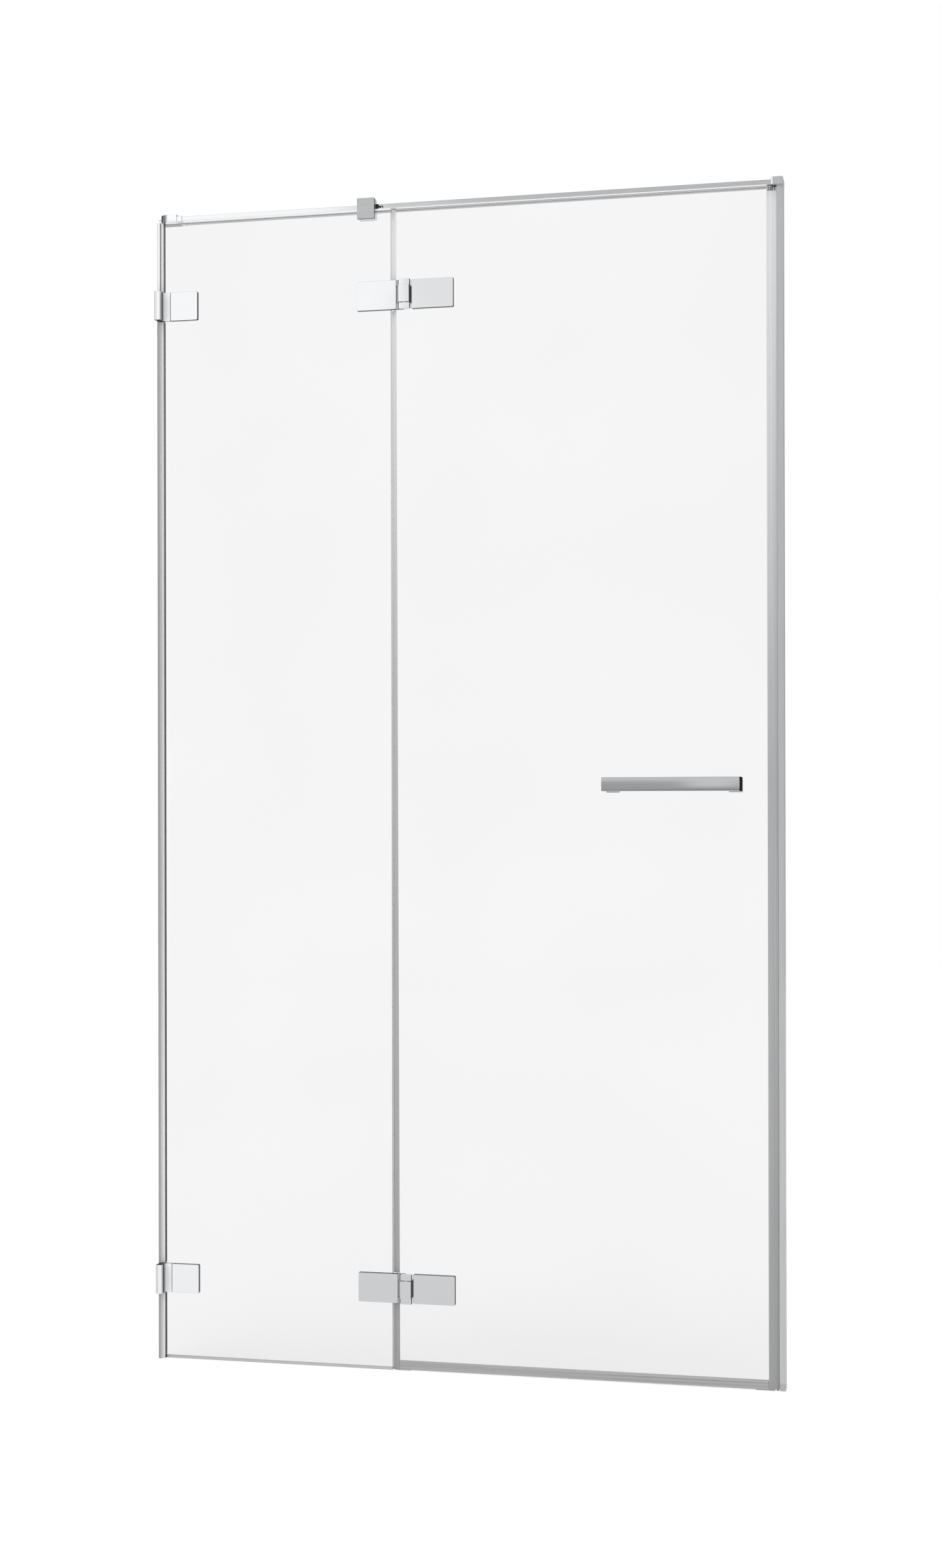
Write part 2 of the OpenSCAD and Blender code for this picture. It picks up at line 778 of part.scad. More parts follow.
// Clip seal under the door, with a straight fin and a slanted drip lip
module drip_seal() {
    color([0.74, 0.76, 0.77])
    translate([mid_seal_x1 + 0.2, 0, 0]) rotate([90, 0, 90])
    linear_extrude(mag_seal_x0 - mid_seal_x1 - 0.4)
    difference() {
        polygon([
            [-seal_out, drip_top], [-seal_out, 6], [-seal_out - 1.2, drip_low], [-seal_out + 0.6, drip_low],
            [-half_t + 0.4, 6], [-half_t + 0.4, door_lift - 1.4], [half_t - 3, door_lift - 1.4],
            [half_t + 3.4, 5], [half_t + 4.6, 5.6], [seal_out, 11.4], [seal_out, drip_top]
        ]);
        translate([-half_t, door_lift]) square([2 * half_t, 20]);
    }
}

// Section of a corner plug, along Y and Z, between the fin and the drip lip
module plug_section() {
    polygon([
        [-half_t + 0.5, door_lift - 1.4], [-half_t + 0.5, 6], [-half_t - 0.5, drip_low],
        [-half_t - 0.5, corner_low], [half_t - 3.1, corner_low], [half_t - 3.1, door_lift - 1.4]
    ]);
}

// Moulded plugs that close the drip seal at both ends of the door
module drip_seal_corners() {
    color([0.7, 0.72, 0.73])
    for (x0 = [mid_seal_x1 + 0.2, mag_seal_x0 - 0.2 - plug_l]) {
        translate([x0, 0, 0]) rotate([90, 0, 90]) linear_extrude(plug_l) plug_section();
    }
}

// Grip bar with a leg at each end, one bent and machined piece
module handle_grip() {
    z0 = handle_z - handle_h / 2;
    z1 = handle_z + handle_h / 2;
    color([0.74, 0.75, 0.76])
    difference() {
        block([handle_x, handle_front, z0], [handle_x1, -half_t - rosette_t, z1]);
        block([handle_x + leg_w, handle_front + handle_t, z0 - 1], [handle_x1 - leg_w, 0, z1 + 1]);
        for (x = leg_mid) rod_y(x, handle_z, -half_t - rosette_t - 16, 0, thread_r);
    }
}

// Base plates between the handle's legs and the glass
module handle_rosettes() {
    color([0.74, 0.75, 0.76])
    for (x = leg_mid) {
        difference() {
            plate(x - leg_w / 2, x + leg_w / 2, handle_z - rosette_h / 2, handle_z + rosette_h / 2,
                  -half_t - rosette_t, -half_t, 1.5);
            rod_y(x, handle_z, -half_t - rosette_t - 1, 0, clear_r);
        }
    }
}

module handle_sleeves() {
    color([0.9, 0.9, 0.88])
    for (x = leg_mid) {
        difference() {
            rod_y(x, handle_z, -half_t, half_t, sleeve_r);
            rod_y(x, handle_z, -half_t - 1, half_t + 1, clear_r);
        }
    }
}

module handle_screws() {
    color([0.6, 0.6, 0.62])
    for (x = leg_mid) {
        difference() {
            union() {
                rod_y(x, handle_z, -half_t - rosette_t - 15, half_t + 4, screw_r);
                rod_y(x, handle_z, half_t + 2, half_t + 5, 5);
            }
            hex_y(x, handle_z, half_t + 3, half_t + 6, hex_af);
        }
    }
}

// Round caps over the screw heads on the inside of the door
module handle_inner_caps() {
    color([0.84, 0.85, 0.86])
    for (x = leg_mid) {
        difference() {
            rod_y(x, handle_z, half_t, half_t + 7.5, cap_r);
            rod_y(x, handle_z, half_t + 1.9, half_t + 5.3, 5.2);
            rod_y(x, handle_z, half_t - 1, half_t + 3, clear_r);
        }
    }
}

fixed_glass();
wall_gasket();
fixed_bottom_seal();
upper_bracket_body();
lower_bracket_body();
upper_bracket_cover();
lower_bracket_cover();
bracket_pads();
bracket_sleeves();
bracket_screws();
stabiliser_bar();
left_bar_fitting();
left_bar_collar();
left_bar_stud();
right_bar_fitting();
bar_grub_screws();
bar_stop();
clamp_block();
clamp_back_plate();
clamp_pads();
clamp_screw();
wall_profile();
strike_profile();
strike_magnet();
profile_foot_cap();
profile_screws();
upper_hinge_fixed_leaf();
lower_hinge_fixed_leaf();
hinge_fixed_back_plates();
hinge_fixed_pads();
hinge_fixed_sleeves();
hinge_fixed_screws();
hinge_pins();
hinge_washers();
door_glass();
upper_hinge_door_leaf();
lower_hinge_door_leaf();
hinge_door_back_plates();
hinge_door_pads();
hinge_door_sleeves();
hinge_door_screws();
hinge_bushes();
mid_seal();
magnetic_seal();
door_magnet();
drip_seal();
drip_seal_corners();
handle_grip();
handle_rosettes();
handle_sleeves();
handle_screws();
handle_inner_caps();
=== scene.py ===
# %% [markdown]
# # A hinged shower door
#
# The real object fills a niche between two walls: a fixed glass panel on the left, a glass door on
# the right, and chromed fittings that hold both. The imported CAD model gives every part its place.
# This lesson dresses it: glass, screws and turned parts keep their CAD shape and get a finish, and
# plates, bars, knuckles, seals and the handle are made again with eased edges. All sizes in the
# shapes are millimetres, and each finished object keeps its own place in the frame.

# %% Load the frame
import json
import math

import bmesh
import bpy
import numpy as np
from mathutils import Matrix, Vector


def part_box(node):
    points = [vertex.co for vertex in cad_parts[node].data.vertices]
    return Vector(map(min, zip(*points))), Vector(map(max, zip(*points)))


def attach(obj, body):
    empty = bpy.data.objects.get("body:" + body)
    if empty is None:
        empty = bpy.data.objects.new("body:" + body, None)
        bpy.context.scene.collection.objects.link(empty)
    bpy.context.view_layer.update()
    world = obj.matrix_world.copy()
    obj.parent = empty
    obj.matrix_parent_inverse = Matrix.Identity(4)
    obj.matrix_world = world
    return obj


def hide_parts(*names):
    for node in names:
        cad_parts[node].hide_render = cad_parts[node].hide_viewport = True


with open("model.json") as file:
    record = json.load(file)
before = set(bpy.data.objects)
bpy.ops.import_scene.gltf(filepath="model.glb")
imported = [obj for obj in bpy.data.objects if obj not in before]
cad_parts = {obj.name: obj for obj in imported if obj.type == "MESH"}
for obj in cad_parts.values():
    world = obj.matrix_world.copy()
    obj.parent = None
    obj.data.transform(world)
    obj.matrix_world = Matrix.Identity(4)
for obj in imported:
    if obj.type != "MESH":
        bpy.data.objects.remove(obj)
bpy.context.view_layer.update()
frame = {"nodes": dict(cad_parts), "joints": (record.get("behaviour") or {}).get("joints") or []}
nodes = frame["nodes"]

# %% [markdown]
# ## Colours and nodes
#
# Colours are written as hex codes, as a paint chart gives them. Blender's sockets take linear
# light, so one function converts them. Materials are trees of nodes, and one more function adds a
# node with its settings and its links, which keeps each material short enough to read.

# %% Hex codes to linear colour
def linear(code):
    """sRGB hex to linear RGBA: s / 12.92 up to 0.04045, above it (s + 0.055) / 1.055 to the power 2.4."""
    s = np.array([int(code[i:i + 2], 16) for i in (0, 2, 4)]) / 255
    return (*np.where(s <= 0.04045, s / 12.92, ((s + 0.055) / 1.055) ** 2.4), 1.0)

print("mid grey:", linear("808080"))

# %% Add a node
def add(tree, kind, inputs=None, **settings):
    """One new node. inputs maps its sockets to a value or to another node's output."""
    node = tree.nodes.new(kind)
    for key, value in settings.items():
        setattr(node, key, value)
    for key, value in (inputs or {}).items():
        if isinstance(value, bpy.types.NodeSocket):
            tree.links.new(value, node.inputs[key])
        else:
            node.inputs[key].default_value = value
    return node

def maths(tree, operation, *values):
    """The result of a Math node with the given values or outputs."""
    return add(tree, "ShaderNodeMath", dict(enumerate(values)), operation=operation).outputs[0]

# %% Start a material
def start_material(name):
    """An empty material with its output and the object's own coordinates, in metres."""
    material = bpy.data.materials.new(name)
    material.use_nodes = True
    tree = material.node_tree
    tree.nodes.clear()
    output = add(tree, "ShaderNodeOutputMaterial")
    place = add(tree, "ShaderNodeTexCoord").outputs["Object"]
    return material, tree, output, place

def surface(tree, output, inputs):
    """A Principled shader with these inputs, as the material's surface."""
    shader = add(tree, "ShaderNodeBsdfPrincipled", inputs)
    tree.links.new(shader.outputs["BSDF"], output.inputs["Surface"])

# %% A colour ramp between positions
def ramp(tree, factor, stops):
    """A Color Ramp node through stops of (position, hex code)."""
    node = add(tree, "ShaderNodeValToRGB", {"Fac": factor})
    band = node.color_ramp
    while len(band.elements) < len(stops):
        band.elements.new(1.0)
    for element, (position, code) in zip(band.elements, stops):
        element.position = position
        element.color = linear(code)
    return node.outputs["Color"]

# %% [markdown]
# ## Polished chrome
#
# The brackets and hinges are brass castings, ground, polished and chrome plated. Chrome shows the
# room rather than a colour of its own: a neutral grey mirror, very smooth, with faint wiping marks
# that only blur it a little. Metallic is 1 and the roughness starts near 0.04. The marks are a
# noise of some 40 mm, stretched along X, in the roughness alone, so the flat plates stay flat.
# Satin and brushed parts take a higher roughness. Two lighter chromes are a painted highlight
# where rims and undersides would catch the light.

# %% Chrome finishes
def polished_metal(name, code, rough_low, rough_high, mark_mm):
    """A mirror-like metal whose roughness wanders between two values, over marks of the given size."""
    material, tree, output, place = start_material(name)
    scaled = add(tree, "ShaderNodeMapping", {"Vector": place, "Scale": (0.25, 1.0, 1.0)})
    marks = add(tree, "ShaderNodeTexNoise", {"Vector": scaled.outputs["Vector"], "Scale": 1000 / mark_mm,
                                             "Detail": 3.0})
    rough = add(tree, "ShaderNodeMapRange", {"Value": marks.outputs["Fac"], "From Min": 0.3, "From Max": 0.7,
                                             "To Min": rough_low, "To Max": rough_high})
    surface(tree, output, {"Base Color": linear(code), "Metallic": 1.0, "Roughness": rough.outputs["Result"]})
    return material

chrome = polished_metal("polished_chrome", "CDCED0", 0.03, 0.07, 40)
satin_chrome = polished_metal("satin_chrome", "CBCCCE", 0.07, 0.12, 25)
# Two lighter chromes: painted highlight on rims, undersides and the left stud.
chrome_painted_highlight = polished_metal("light_chrome_painted_highlight", "F0F0F1", 0.08, 0.14, 25)
underside_painted_highlight = polished_metal("chrome_underside_painted_highlight", "FAFAFB", 0.02, 0.04, 40)
grip_chrome = polished_metal("grip_chrome", "CBCCCE", 0.04, 0.07, 40)
brushed_block = polished_metal("brushed_chrome_block", "B8B9BA", 0.34, 0.40, 8)
print("chrome finishes:", chrome.name, satin_chrome.name, chrome_painted_highlight.name, underside_painted_highlight.name,
      grip_chrome.name, brushed_block.name)

# %% [markdown]
# The narrow sides of the plates and the parts in shade take painted shade: darker copies of the
# chrome, from a half shade to a deep shade. So a fitting gets a fine dark line on the right and on one
# long side. The same function makes them, with a darker colour and a higher roughness.

# %% Painted shade on chrome, and stainless steel
# Three darker chromes are painted shade: a half shade, a shade and a deep shade.
chrome_painted_half_shade = polished_metal("chrome_painted_half_shade", "AEAFB1", 0.12, 0.2, 12)
chrome_painted_shade = polished_metal("chrome_edge_painted_shade", "6A6B6E", 0.18, 0.28, 6)
chrome_painted_deep_shade = polished_metal("chrome_edge_painted_deep_shade", "1E1F20", 0.18, 0.28, 6)
stainless = polished_metal("turned_stainless_steel", "B4B4B6", 0.22, 0.34, 3)
print("edge finishes:", chrome_painted_half_shade.name, chrome_painted_shade.name, chrome_painted_deep_shade.name, stainless.name)

# %% [markdown]
# ## Anodised aluminium
#
# The profile at the right wall is an extrusion: the die leaves fine lines along its length, and the
# anodising dulls them. Such lines are some 0.2 mm apart. That is too fine to show here, so the noise
# is drawn 0.8 mm wide and a hundred times as long.

# %% Extruded aluminium
def extruded_metal(name, dark, light, line_mm):
    """A metal with lines along Z: a noise squeezed across the length and stretched along it."""
    material, tree, output, place = start_material(name)
    scaled = add(tree, "ShaderNodeMapping", {"Vector": place, "Scale": (1.0, 1.0, 0.01)})
    lines = add(tree, "ShaderNodeTexNoise", {"Vector": scaled.outputs["Vector"], "Scale": 1000 / line_mm,
                                             "Detail": 2.0})
    colour = ramp(tree, lines.outputs["Fac"], [(0.35, dark), (0.65, light)])
    surface(tree, output, {"Base Color": colour, "Metallic": 1.0, "Roughness": 0.42})
    return material

aluminium = extruded_metal("anodised_aluminium", "C2C3C5", "CACBCD", 0.8)
print("profile finish:", aluminium.name)

# %% [markdown]
# ## Toughened glass
#
# Both panels are 8 mm clear float glass. It takes a little light on the way through, which is what
# tells glass from air in the photograph. IOR 1.5 bends the light at the edges. The reflection on the
# faces is taken out, although glass reflects some 4 percent, because the photograph shows none.
# Float glass isn't perfectly even, so its tint wanders by two grey steps over about 300 mm.

# %% Clear glass
def clear_glass(name, dark, light, patch_mm):
    """Clear glass whose faint tint wanders over patches of the given size."""
    material, tree, output, place = start_material(name)
    patches = add(tree, "ShaderNodeTexNoise", {"Vector": place, "Scale": 1000 / patch_mm, "Detail": 1.0})
    tint = ramp(tree, patches.outputs["Fac"], [(0.3, dark), (0.7, light)])
    surface(tree, output, {"Base Color": tint, "Roughness": 0.0, "IOR": 1.5, "Specular IOR Level": 0.0,
                           "Specular Tint": (0, 0, 0, 1), "Transmission Weight": 1.0})
    return material

glass = clear_glass("toughened_glass", "F4F4F4", "F6F6F6", 300)
print("glass:", glass.name)

# %% [markdown]
# ## Clear PVC seals
#
# The seals are extruded soft PVC. Clear PVC of 1 mm looks milky grey, with streaks along its length
# from the die and lighter and darker stretches where it bends light from above or from the floor.
# The streaks are a noise 1.5 mm wide and 0.5 m long. Over them the colour is painted light, lighter
# towards the top of the door and darker towards its foot, for the light of the ceiling that the real
# seal passes downwards.

# %% Streaked PVC
def streaked_pvc(name, dark, light, painted_light_stops, along="Z", clear=0.15, streak_mm=1.5):
    """Milky plastic with streaks along one axis, times painted light that changes with the height. The
    stops of that painted light are (height as a share of 2 m, hex code)."""
    material, tree, output, place = start_material(name)
    squeeze = (1.0, 1.0, 0.003) if along == "Z" else (0.003, 1.0, 1.0)
    scaled = add(tree, "ShaderNodeMapping", {"Vector": place, "Scale": squeeze})
    streaks = add(tree, "ShaderNodeTexNoise", {"Vector": scaled.outputs["Vector"], "Scale": 1000 / streak_mm,
                                               "Detail": 2.0})
    colour = ramp(tree, streaks.outputs["Fac"], [(0.35, dark), (0.65, light)])
    # Painted light by height: lighter towards the top, darker towards the foot.
    height = add(tree, "ShaderNodeSeparateXYZ", {"Vector": place}).outputs["Z"]
    share = add(tree, "ShaderNodeMapRange", {"Value": height, "From Min": 0.0, "From Max": 2.0})
    painted_light = ramp(tree, share.outputs["Result"], painted_light_stops)
    mixed = add(tree, "ShaderNodeMix", {"Factor": 1.0}, data_type="RGBA", blend_type="MULTIPLY")
    tree.links.new(colour, mixed.inputs[6])
    tree.links.new(painted_light, mixed.inputs[7])
    surface(tree, output, {"Base Color": mixed.outputs[2], "Roughness": 0.3, "IOR": 1.53,
                           "Transmission Weight": clear})
    return material

pvc = streaked_pvc("clear_pvc", "F0F1F1", "FFFFFF",
                   [(0.0, "A9A9AA"), (0.13, "AEAEAF"), (0.58, "C4C4C5"), (0.9, "E9E9EA"), (1.0, "F3F3F4")])
pvc_foot = streaked_pvc("clear_pvc_foot", "A4A4A5", "C2C2C3", [(0.0, "FFFFFF"), (1.0, "FFFFFF")], along="X")
gasket_lip = streaked_pvc("grey_gasket_lip", "EDEDEE", "FFFFFF",
                          [(0.0, "ACACAD"), (0.05, "A6A6A7"), (0.9, "A2A2A3"), (0.93, "F4F4F4"),
                           (1.0, "F4F4F4")], clear=0.0)
gasket_rib = streaked_pvc("grey_gasket_rib", "E8E8E9", "FFFFFF",
                          [(0.0, "949495"), (0.9, "8E8E90"), (0.93, "D8D8D9"), (1.0, "D8D8D9")], clear=0.0)
gasket_web = streaked_pvc("grey_gasket_web", "F2F2F2", "FFFFFF",
                          [(0.0, "E6E6E7"), (0.2, "E6E6E7"), (0.4, "D8D8D9"), (0.9, "D8D8D9"), (0.93, "EAEAEA"),
                           (1.0, "EAEAEA")], clear=0.0)
gasket_painted_shade = streaked_pvc("gasket_edge_painted_shade", "E0E0E0", "FFFFFF",
                           [(0.0, "404042"), (0.2, "525254"), (0.5, "626264"), (0.9, "6C6C6E"),
                            (1.0, "6C6C6E")], clear=0.0)
print("seal finishes:", pvc.name, pvc_foot.name, gasket_lip.name, gasket_rib.name, gasket_web.name,
      gasket_painted_shade.name)

# %% [markdown]
# ## Rubber, nylon and small plastics
#
# Pads, sleeves, washers and magnets are moulded or turned. Each is a plain colour to the eye with a
# fine grain: 0.3 mm on rubber, 0.5 mm on nylon. A noise gives the grain to the colour and to a low
# bump, and roughness separates matt rubber from the silkier nylon. The ground edges of the glass and
# the strip between glass and bar scatter light too, so they join here. So does a painted highlight:
# the chromed necks of the brackets get a bright matt white in place of the chrome.

# %% Moulded plastics
def moulded(name, dark, light, rough, grain_mm, shine=0.5):
    """A matt plastic with a fine grain in its colour and its surface. shine is its specular level."""
    material, tree, output, place = start_material(name)
    grain = add(tree, "ShaderNodeTexNoise", {"Vector": place, "Scale": 1000 / grain_mm, "Detail": 2.0})
    colour = ramp(tree, grain.outputs["Fac"], [(0.3, dark), (0.7, light)])
    bump = add(tree, "ShaderNodeBump", {"Height": grain.outputs["Fac"], "Strength": 0.15,
                                        "Distance": 0.0002})
    surface(tree, output, {"Base Color": colour, "Roughness": rough, "IOR": 1.5, "Specular IOR Level": shine,
                           "Normal": bump.outputs["Normal"]})
    return material

rubber = moulded("black_rubber", "0E0E0F", "1A1A1B", 0.75, 0.3)
black_cap = moulded("black_end_cap", "101011", "1C1C1D", 0.9, 0.4, shine=0.05)
strip_rubber = moulded("grey_strip_rubber", "B4B4B5", "C8C8C9", 0.6, 0.5)
ground_glass = moulded("ground_glass_edge", "F2F3F3", "FCFDFD", 0.8, 0.5)
gap_strip = moulded("clear_gap_strip", "D0D0D1", "D8D8D9", 0.6, 0.5)
# Painted highlight: a bright matt white on the chromed necks of the brackets.
neck_painted_highlight = moulded("chrome_neck_painted_highlight", "F8F8F8", "FFFFFF", 0.5, 0.5)
nylon = moulded("white_nylon", "DCDCD8", "E6E6E2", 0.5, 0.5)
grey_plastic = moulded("grey_abs", "A6A6A8", "B4B4B6", 0.45, 0.6)
grey_plug = moulded("grey_seal_plug", "747476", "848486", 0.6, 0.4)
magnet = moulded("magnet_strip", "2A2A2C", "353537", 0.6, 0.5)
print("plastics:", rubber.name, black_cap.name, strip_rubber.name,
      ground_glass.name, gap_strip.name, neck_painted_highlight.name, nylon.name,
      grey_plastic.name, grey_plug.name, magnet.name)

# %% [markdown]
# ## Shapes from an outline
#
# Nearly every fitting is a flat outline with a thickness and eased rims: plates, bars, the handle,
# knuckles and seals. So one function carries an outline along an axis and rounds both rims, with
# whole arrays. The bevel tool would do as well, but the formula is shorter and always closed.

# %% Outlines
def round_box(a0, a1, b0, b1, r, steps=6):
    """Rectangle with round corners, counter-clockwise from the high corner: quarter circles of radius
    r about points r inside each corner. r is one radius or four."""
    r = np.broadcast_to(np.array(r, float), (4,))[:, None]
    angle = np.arange(4)[:, None] * np.pi / 2 + np.linspace(0, np.pi / 2, steps + 1)
    centre_a = np.array([[a1], [a0], [a0], [a1]]) + r * np.array([[-1], [1], [1], [-1]])
    centre_b = np.array([[b1], [b1], [b0], [b0]]) + r * np.array([[-1], [-1], [1], [1]])
    return np.stack([(centre_a + r * np.cos(angle)).ravel(), (centre_b + r * np.sin(angle)).ravel()], axis=1)

def arc(a, b, r, start, end, steps=12):
    """Points on a circle about (a, b): r times the cosine and sine of angles from start to end degrees."""
    angle = np.radians(np.linspace(start, end, steps + 1))
    return np.stack([a + r * np.cos(angle), b + r * np.sin(angle)], axis=1)

print("corner points of a plate:", len(round_box(0, 70, 0, 50, 2.5)))

# %% Which sides of an outline face a direction
def facing(outline, direction, hit, other):
    """For each side of a counter-clockwise outline: hit where its outward normal is within 50 degrees
    of the direction, and other elsewhere."""
    side = np.roll(outline, -1, axis=0) - outline
    outward = np.stack([side[:, 1], -side[:, 0]], axis=1) / np.linalg.norm(side, axis=1, keepdims=True)
    return np.where(outward @ np.array(direction, float) > 0.64, hit, other)

print("sides that face up on a square:", facing(round_box(0, 1, 0, 1, 0.1, 1), (0, 1), 1, 0))

# %% An outline carried along an axis
def prism(outline, low, high, axis, rim=0.5, ends=0, sides=0, crown=0.0):
    """A closed solid in mm: each outline point moves inwards along its corner's mitre by rim * (1 - sin t)
    at the level low + rim * (1 - cos t), for t from 0 to a right angle, and the same from the other end.
    A crown moves it inwards by crown * u * u as well, with u from -1 at one end to 1 at the other.
    Outline axes are (Y, Z) for axis x, (Z, X) for axis y and (X, Y) for axis z.
    ends and sides say which finish the faces take. Returns the points, the faces and the finishes."""
    side = np.roll(outline, -1, axis=0) - outline
    side = side / np.linalg.norm(side, axis=1, keepdims=True)
    inward = np.stack([-side[:, 1], side[:, 0]], axis=1)
    before = np.roll(inward, 1, axis=0)
    mitre = (inward + before) / (1 + np.sum(inward * before, axis=1, keepdims=True))
    t = np.linspace(0, np.pi / 2, 4)
    middle = np.linspace(low + rim, high - rim, 9)[1:-1] if crown else np.zeros(0)
    levels = np.concatenate([low + rim * (1 - np.cos(t)), middle, (high - rim * (1 - np.cos(t)))[::-1]])
    eased_rim = rim * (1 - np.sin(t))
    insets = np.concatenate([eased_rim, np.zeros(len(middle)), eased_rim[::-1]])
    insets = insets + crown * ((2 * levels - low - high) / (high - low)) ** 2
    rings = outline[None] + insets[:, None, None] * mitre[None]
    rows, count = rings.shape[:2]
    order = {"x": (2, 0, 1), "y": (1, 2, 0), "z": (0, 1, 2)}[axis]
    points = np.column_stack([rings.reshape(-1, 2), np.repeat(levels, count)])[:, order]
    here = np.arange(count)
    after = (here + 1) % count
    base = (np.arange(rows - 1) * count)[:, None]
    quads = np.stack([base + here, base + after, base + count + after, base + count + here], axis=2)
    faces = [here[::-1].tolist(), (here + (rows - 1) * count).tolist()] + quads.reshape(-1, 4).tolist()
    side_finish = np.tile(np.broadcast_to(sides, (count,)), rows - 1)
    return points, faces, np.concatenate([[ends, ends], side_finish])

print("faces of a plate:", len(prism(round_box(0, 70, 0, 50, 2.5), 0, 7, "y")[1]))

# %% An object in the scene
def new_object(name, data):
    """A mesh, lamp or camera as an object of the scene."""
    made = bpy.data.objects.new(name, data)
    bpy.context.scene.collection.objects.link(made)
    return made

# %% Dress a finished object
def dress(made, body, stands_for):
    """Flat faces keep flat shading beside a small round. The object rides on a body and replaces CAD
    nodes."""
    normals = made.modifiers.new("flat faces stay flat", "WEIGHTED_NORMAL")
    normals.weight = 100
    normals.keep_sharp = True
    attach(made, body)
    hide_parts(*stands_for)
    print(made.name, "faces:", len(made.data.polygons))
    return made

# %% Solids into one piece
def piece(name, solids, finishes, body, stands_for):
    """One object of closed solids in mm, with its place in its mesh and a finish for each face."""
    points, faces, picks = [], [], []
    start = 0
    for solid_points, solid_faces, solid_picks in solids:
        points.append(solid_points)
        faces += [[corner + start for corner in face] for face in solid_faces]
        picks.append(solid_picks)
        start += len(solid_points)
    mesh = bpy.data.meshes.new(name)
    mesh.from_pydata((np.concatenate(points) / 1000).tolist(), [], faces)
    for finish in finishes:
        mesh.materials.append(finish)
    mesh.polygons.foreach_set("material_index", np.concatenate(picks).astype(np.int32))
    mesh.polygons.foreach_set("use_smooth", np.ones(len(faces), bool))
    mesh.update()
    mesh.set_sharp_from_angle(angle=math.radians(50))
    return dress(new_object(name, mesh), body, stands_for)

# %% A CAD part with eased edges
def eased(node, name, width_mm, finish, body, cut_x=None):
    """A copy of a CAD node with its loose triangles merged into flat faces and its sharp edges bevelled.
    cut_x keeps only what is to the right of that X, in mm, and behind the glass."""
    mesh = nodes[node].data.copy()
    mesh.name = name
    work = bmesh.new()
    work.from_mesh(mesh)
    bmesh.ops.remove_doubles(work, verts=work.verts, dist=1e-6)
    if cut_x is not None:
        bmesh.ops.bisect_plane(work, geom=work.verts[:] + work.edges[:] + work.faces[:],
                               plane_co=(cut_x / 1000, 0, 0), plane_no=(1, 0, 0), clear_inner=True)
        bmesh.ops.delete(work, geom=[vert for vert in work.verts if vert.co.y < 0], context="VERTS")
        bmesh.ops.holes_fill(work, edges=[edge for edge in work.edges if edge.is_boundary])
    bmesh.ops.dissolve_limit(work, angle_limit=math.radians(1), verts=work.verts, edges=work.edges)
    work.to_mesh(mesh)
    work.free()
    mesh.materials.clear()
    mesh.materials.append(finish)
    mesh.polygons.foreach_set("use_smooth", np.ones(len(mesh.polygons), bool))
    made = new_object(name, mesh)
    bevel = made.modifiers.new("eased edges", "BEVEL")
    bevel.width = width_mm / 1000
    bevel.segments = 2
    bevel.limit_method = "ANGLE"
    bevel.angle_limit = math.radians(40)
    return dress(made, body, [node])

# %% Where the CAD parts are
def corners(name):
    """Lowest and highest corner of a CAD node, in mm."""
    low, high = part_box(name)
    return np.array(low) * 1000, np.array(high) * 1000

hinge_x = frame["joints"][0]["pos_m"][0] * 1000
hinge_y = frame["joints"][0]["pos_m"][1] * 1000
glass_low, glass_high = corners("fixed_glass")
door_low, door_high = corners("door_glass")
half_t = glass_high[1]
print("hinge axis at X, Y:", hinge_x, hinge_y, "glass half thickness:", half_t)

# %% [markdown]
# ## Wall brackets
#
# A bracket is a flange on the wall with a round-cornered front, a neck, a clamp plate and a leaf
# behind the glass. The clamp plates are 7 mm thick, 50 mm high, with 2.5 mm corners and eased rims.
# The face mirrors the room, and the sides in shade take painted shade, which shows as dark lines.
# The front and the side of the flange have painted bands of light and shade along their length, and
# the neck's front takes a painted highlight. The leaf keeps its CAD shape, cut free of the flange.

# %% Bracket plates, columns and necks
def plate_sides(outline, level):
    """The right side of a plate takes painted shade, and so does the side that faces the handle's height."""
    shaded = -1 if level == "upper" else 1
    return np.maximum(facing(outline, (0, 1), 2, 0), facing(outline, (shaded, 0), 2, 0))

plate_corner = 2.5
flange_w, flange_step = 11.8, 9.0
wall_r, front_r = 0.8, 1.6
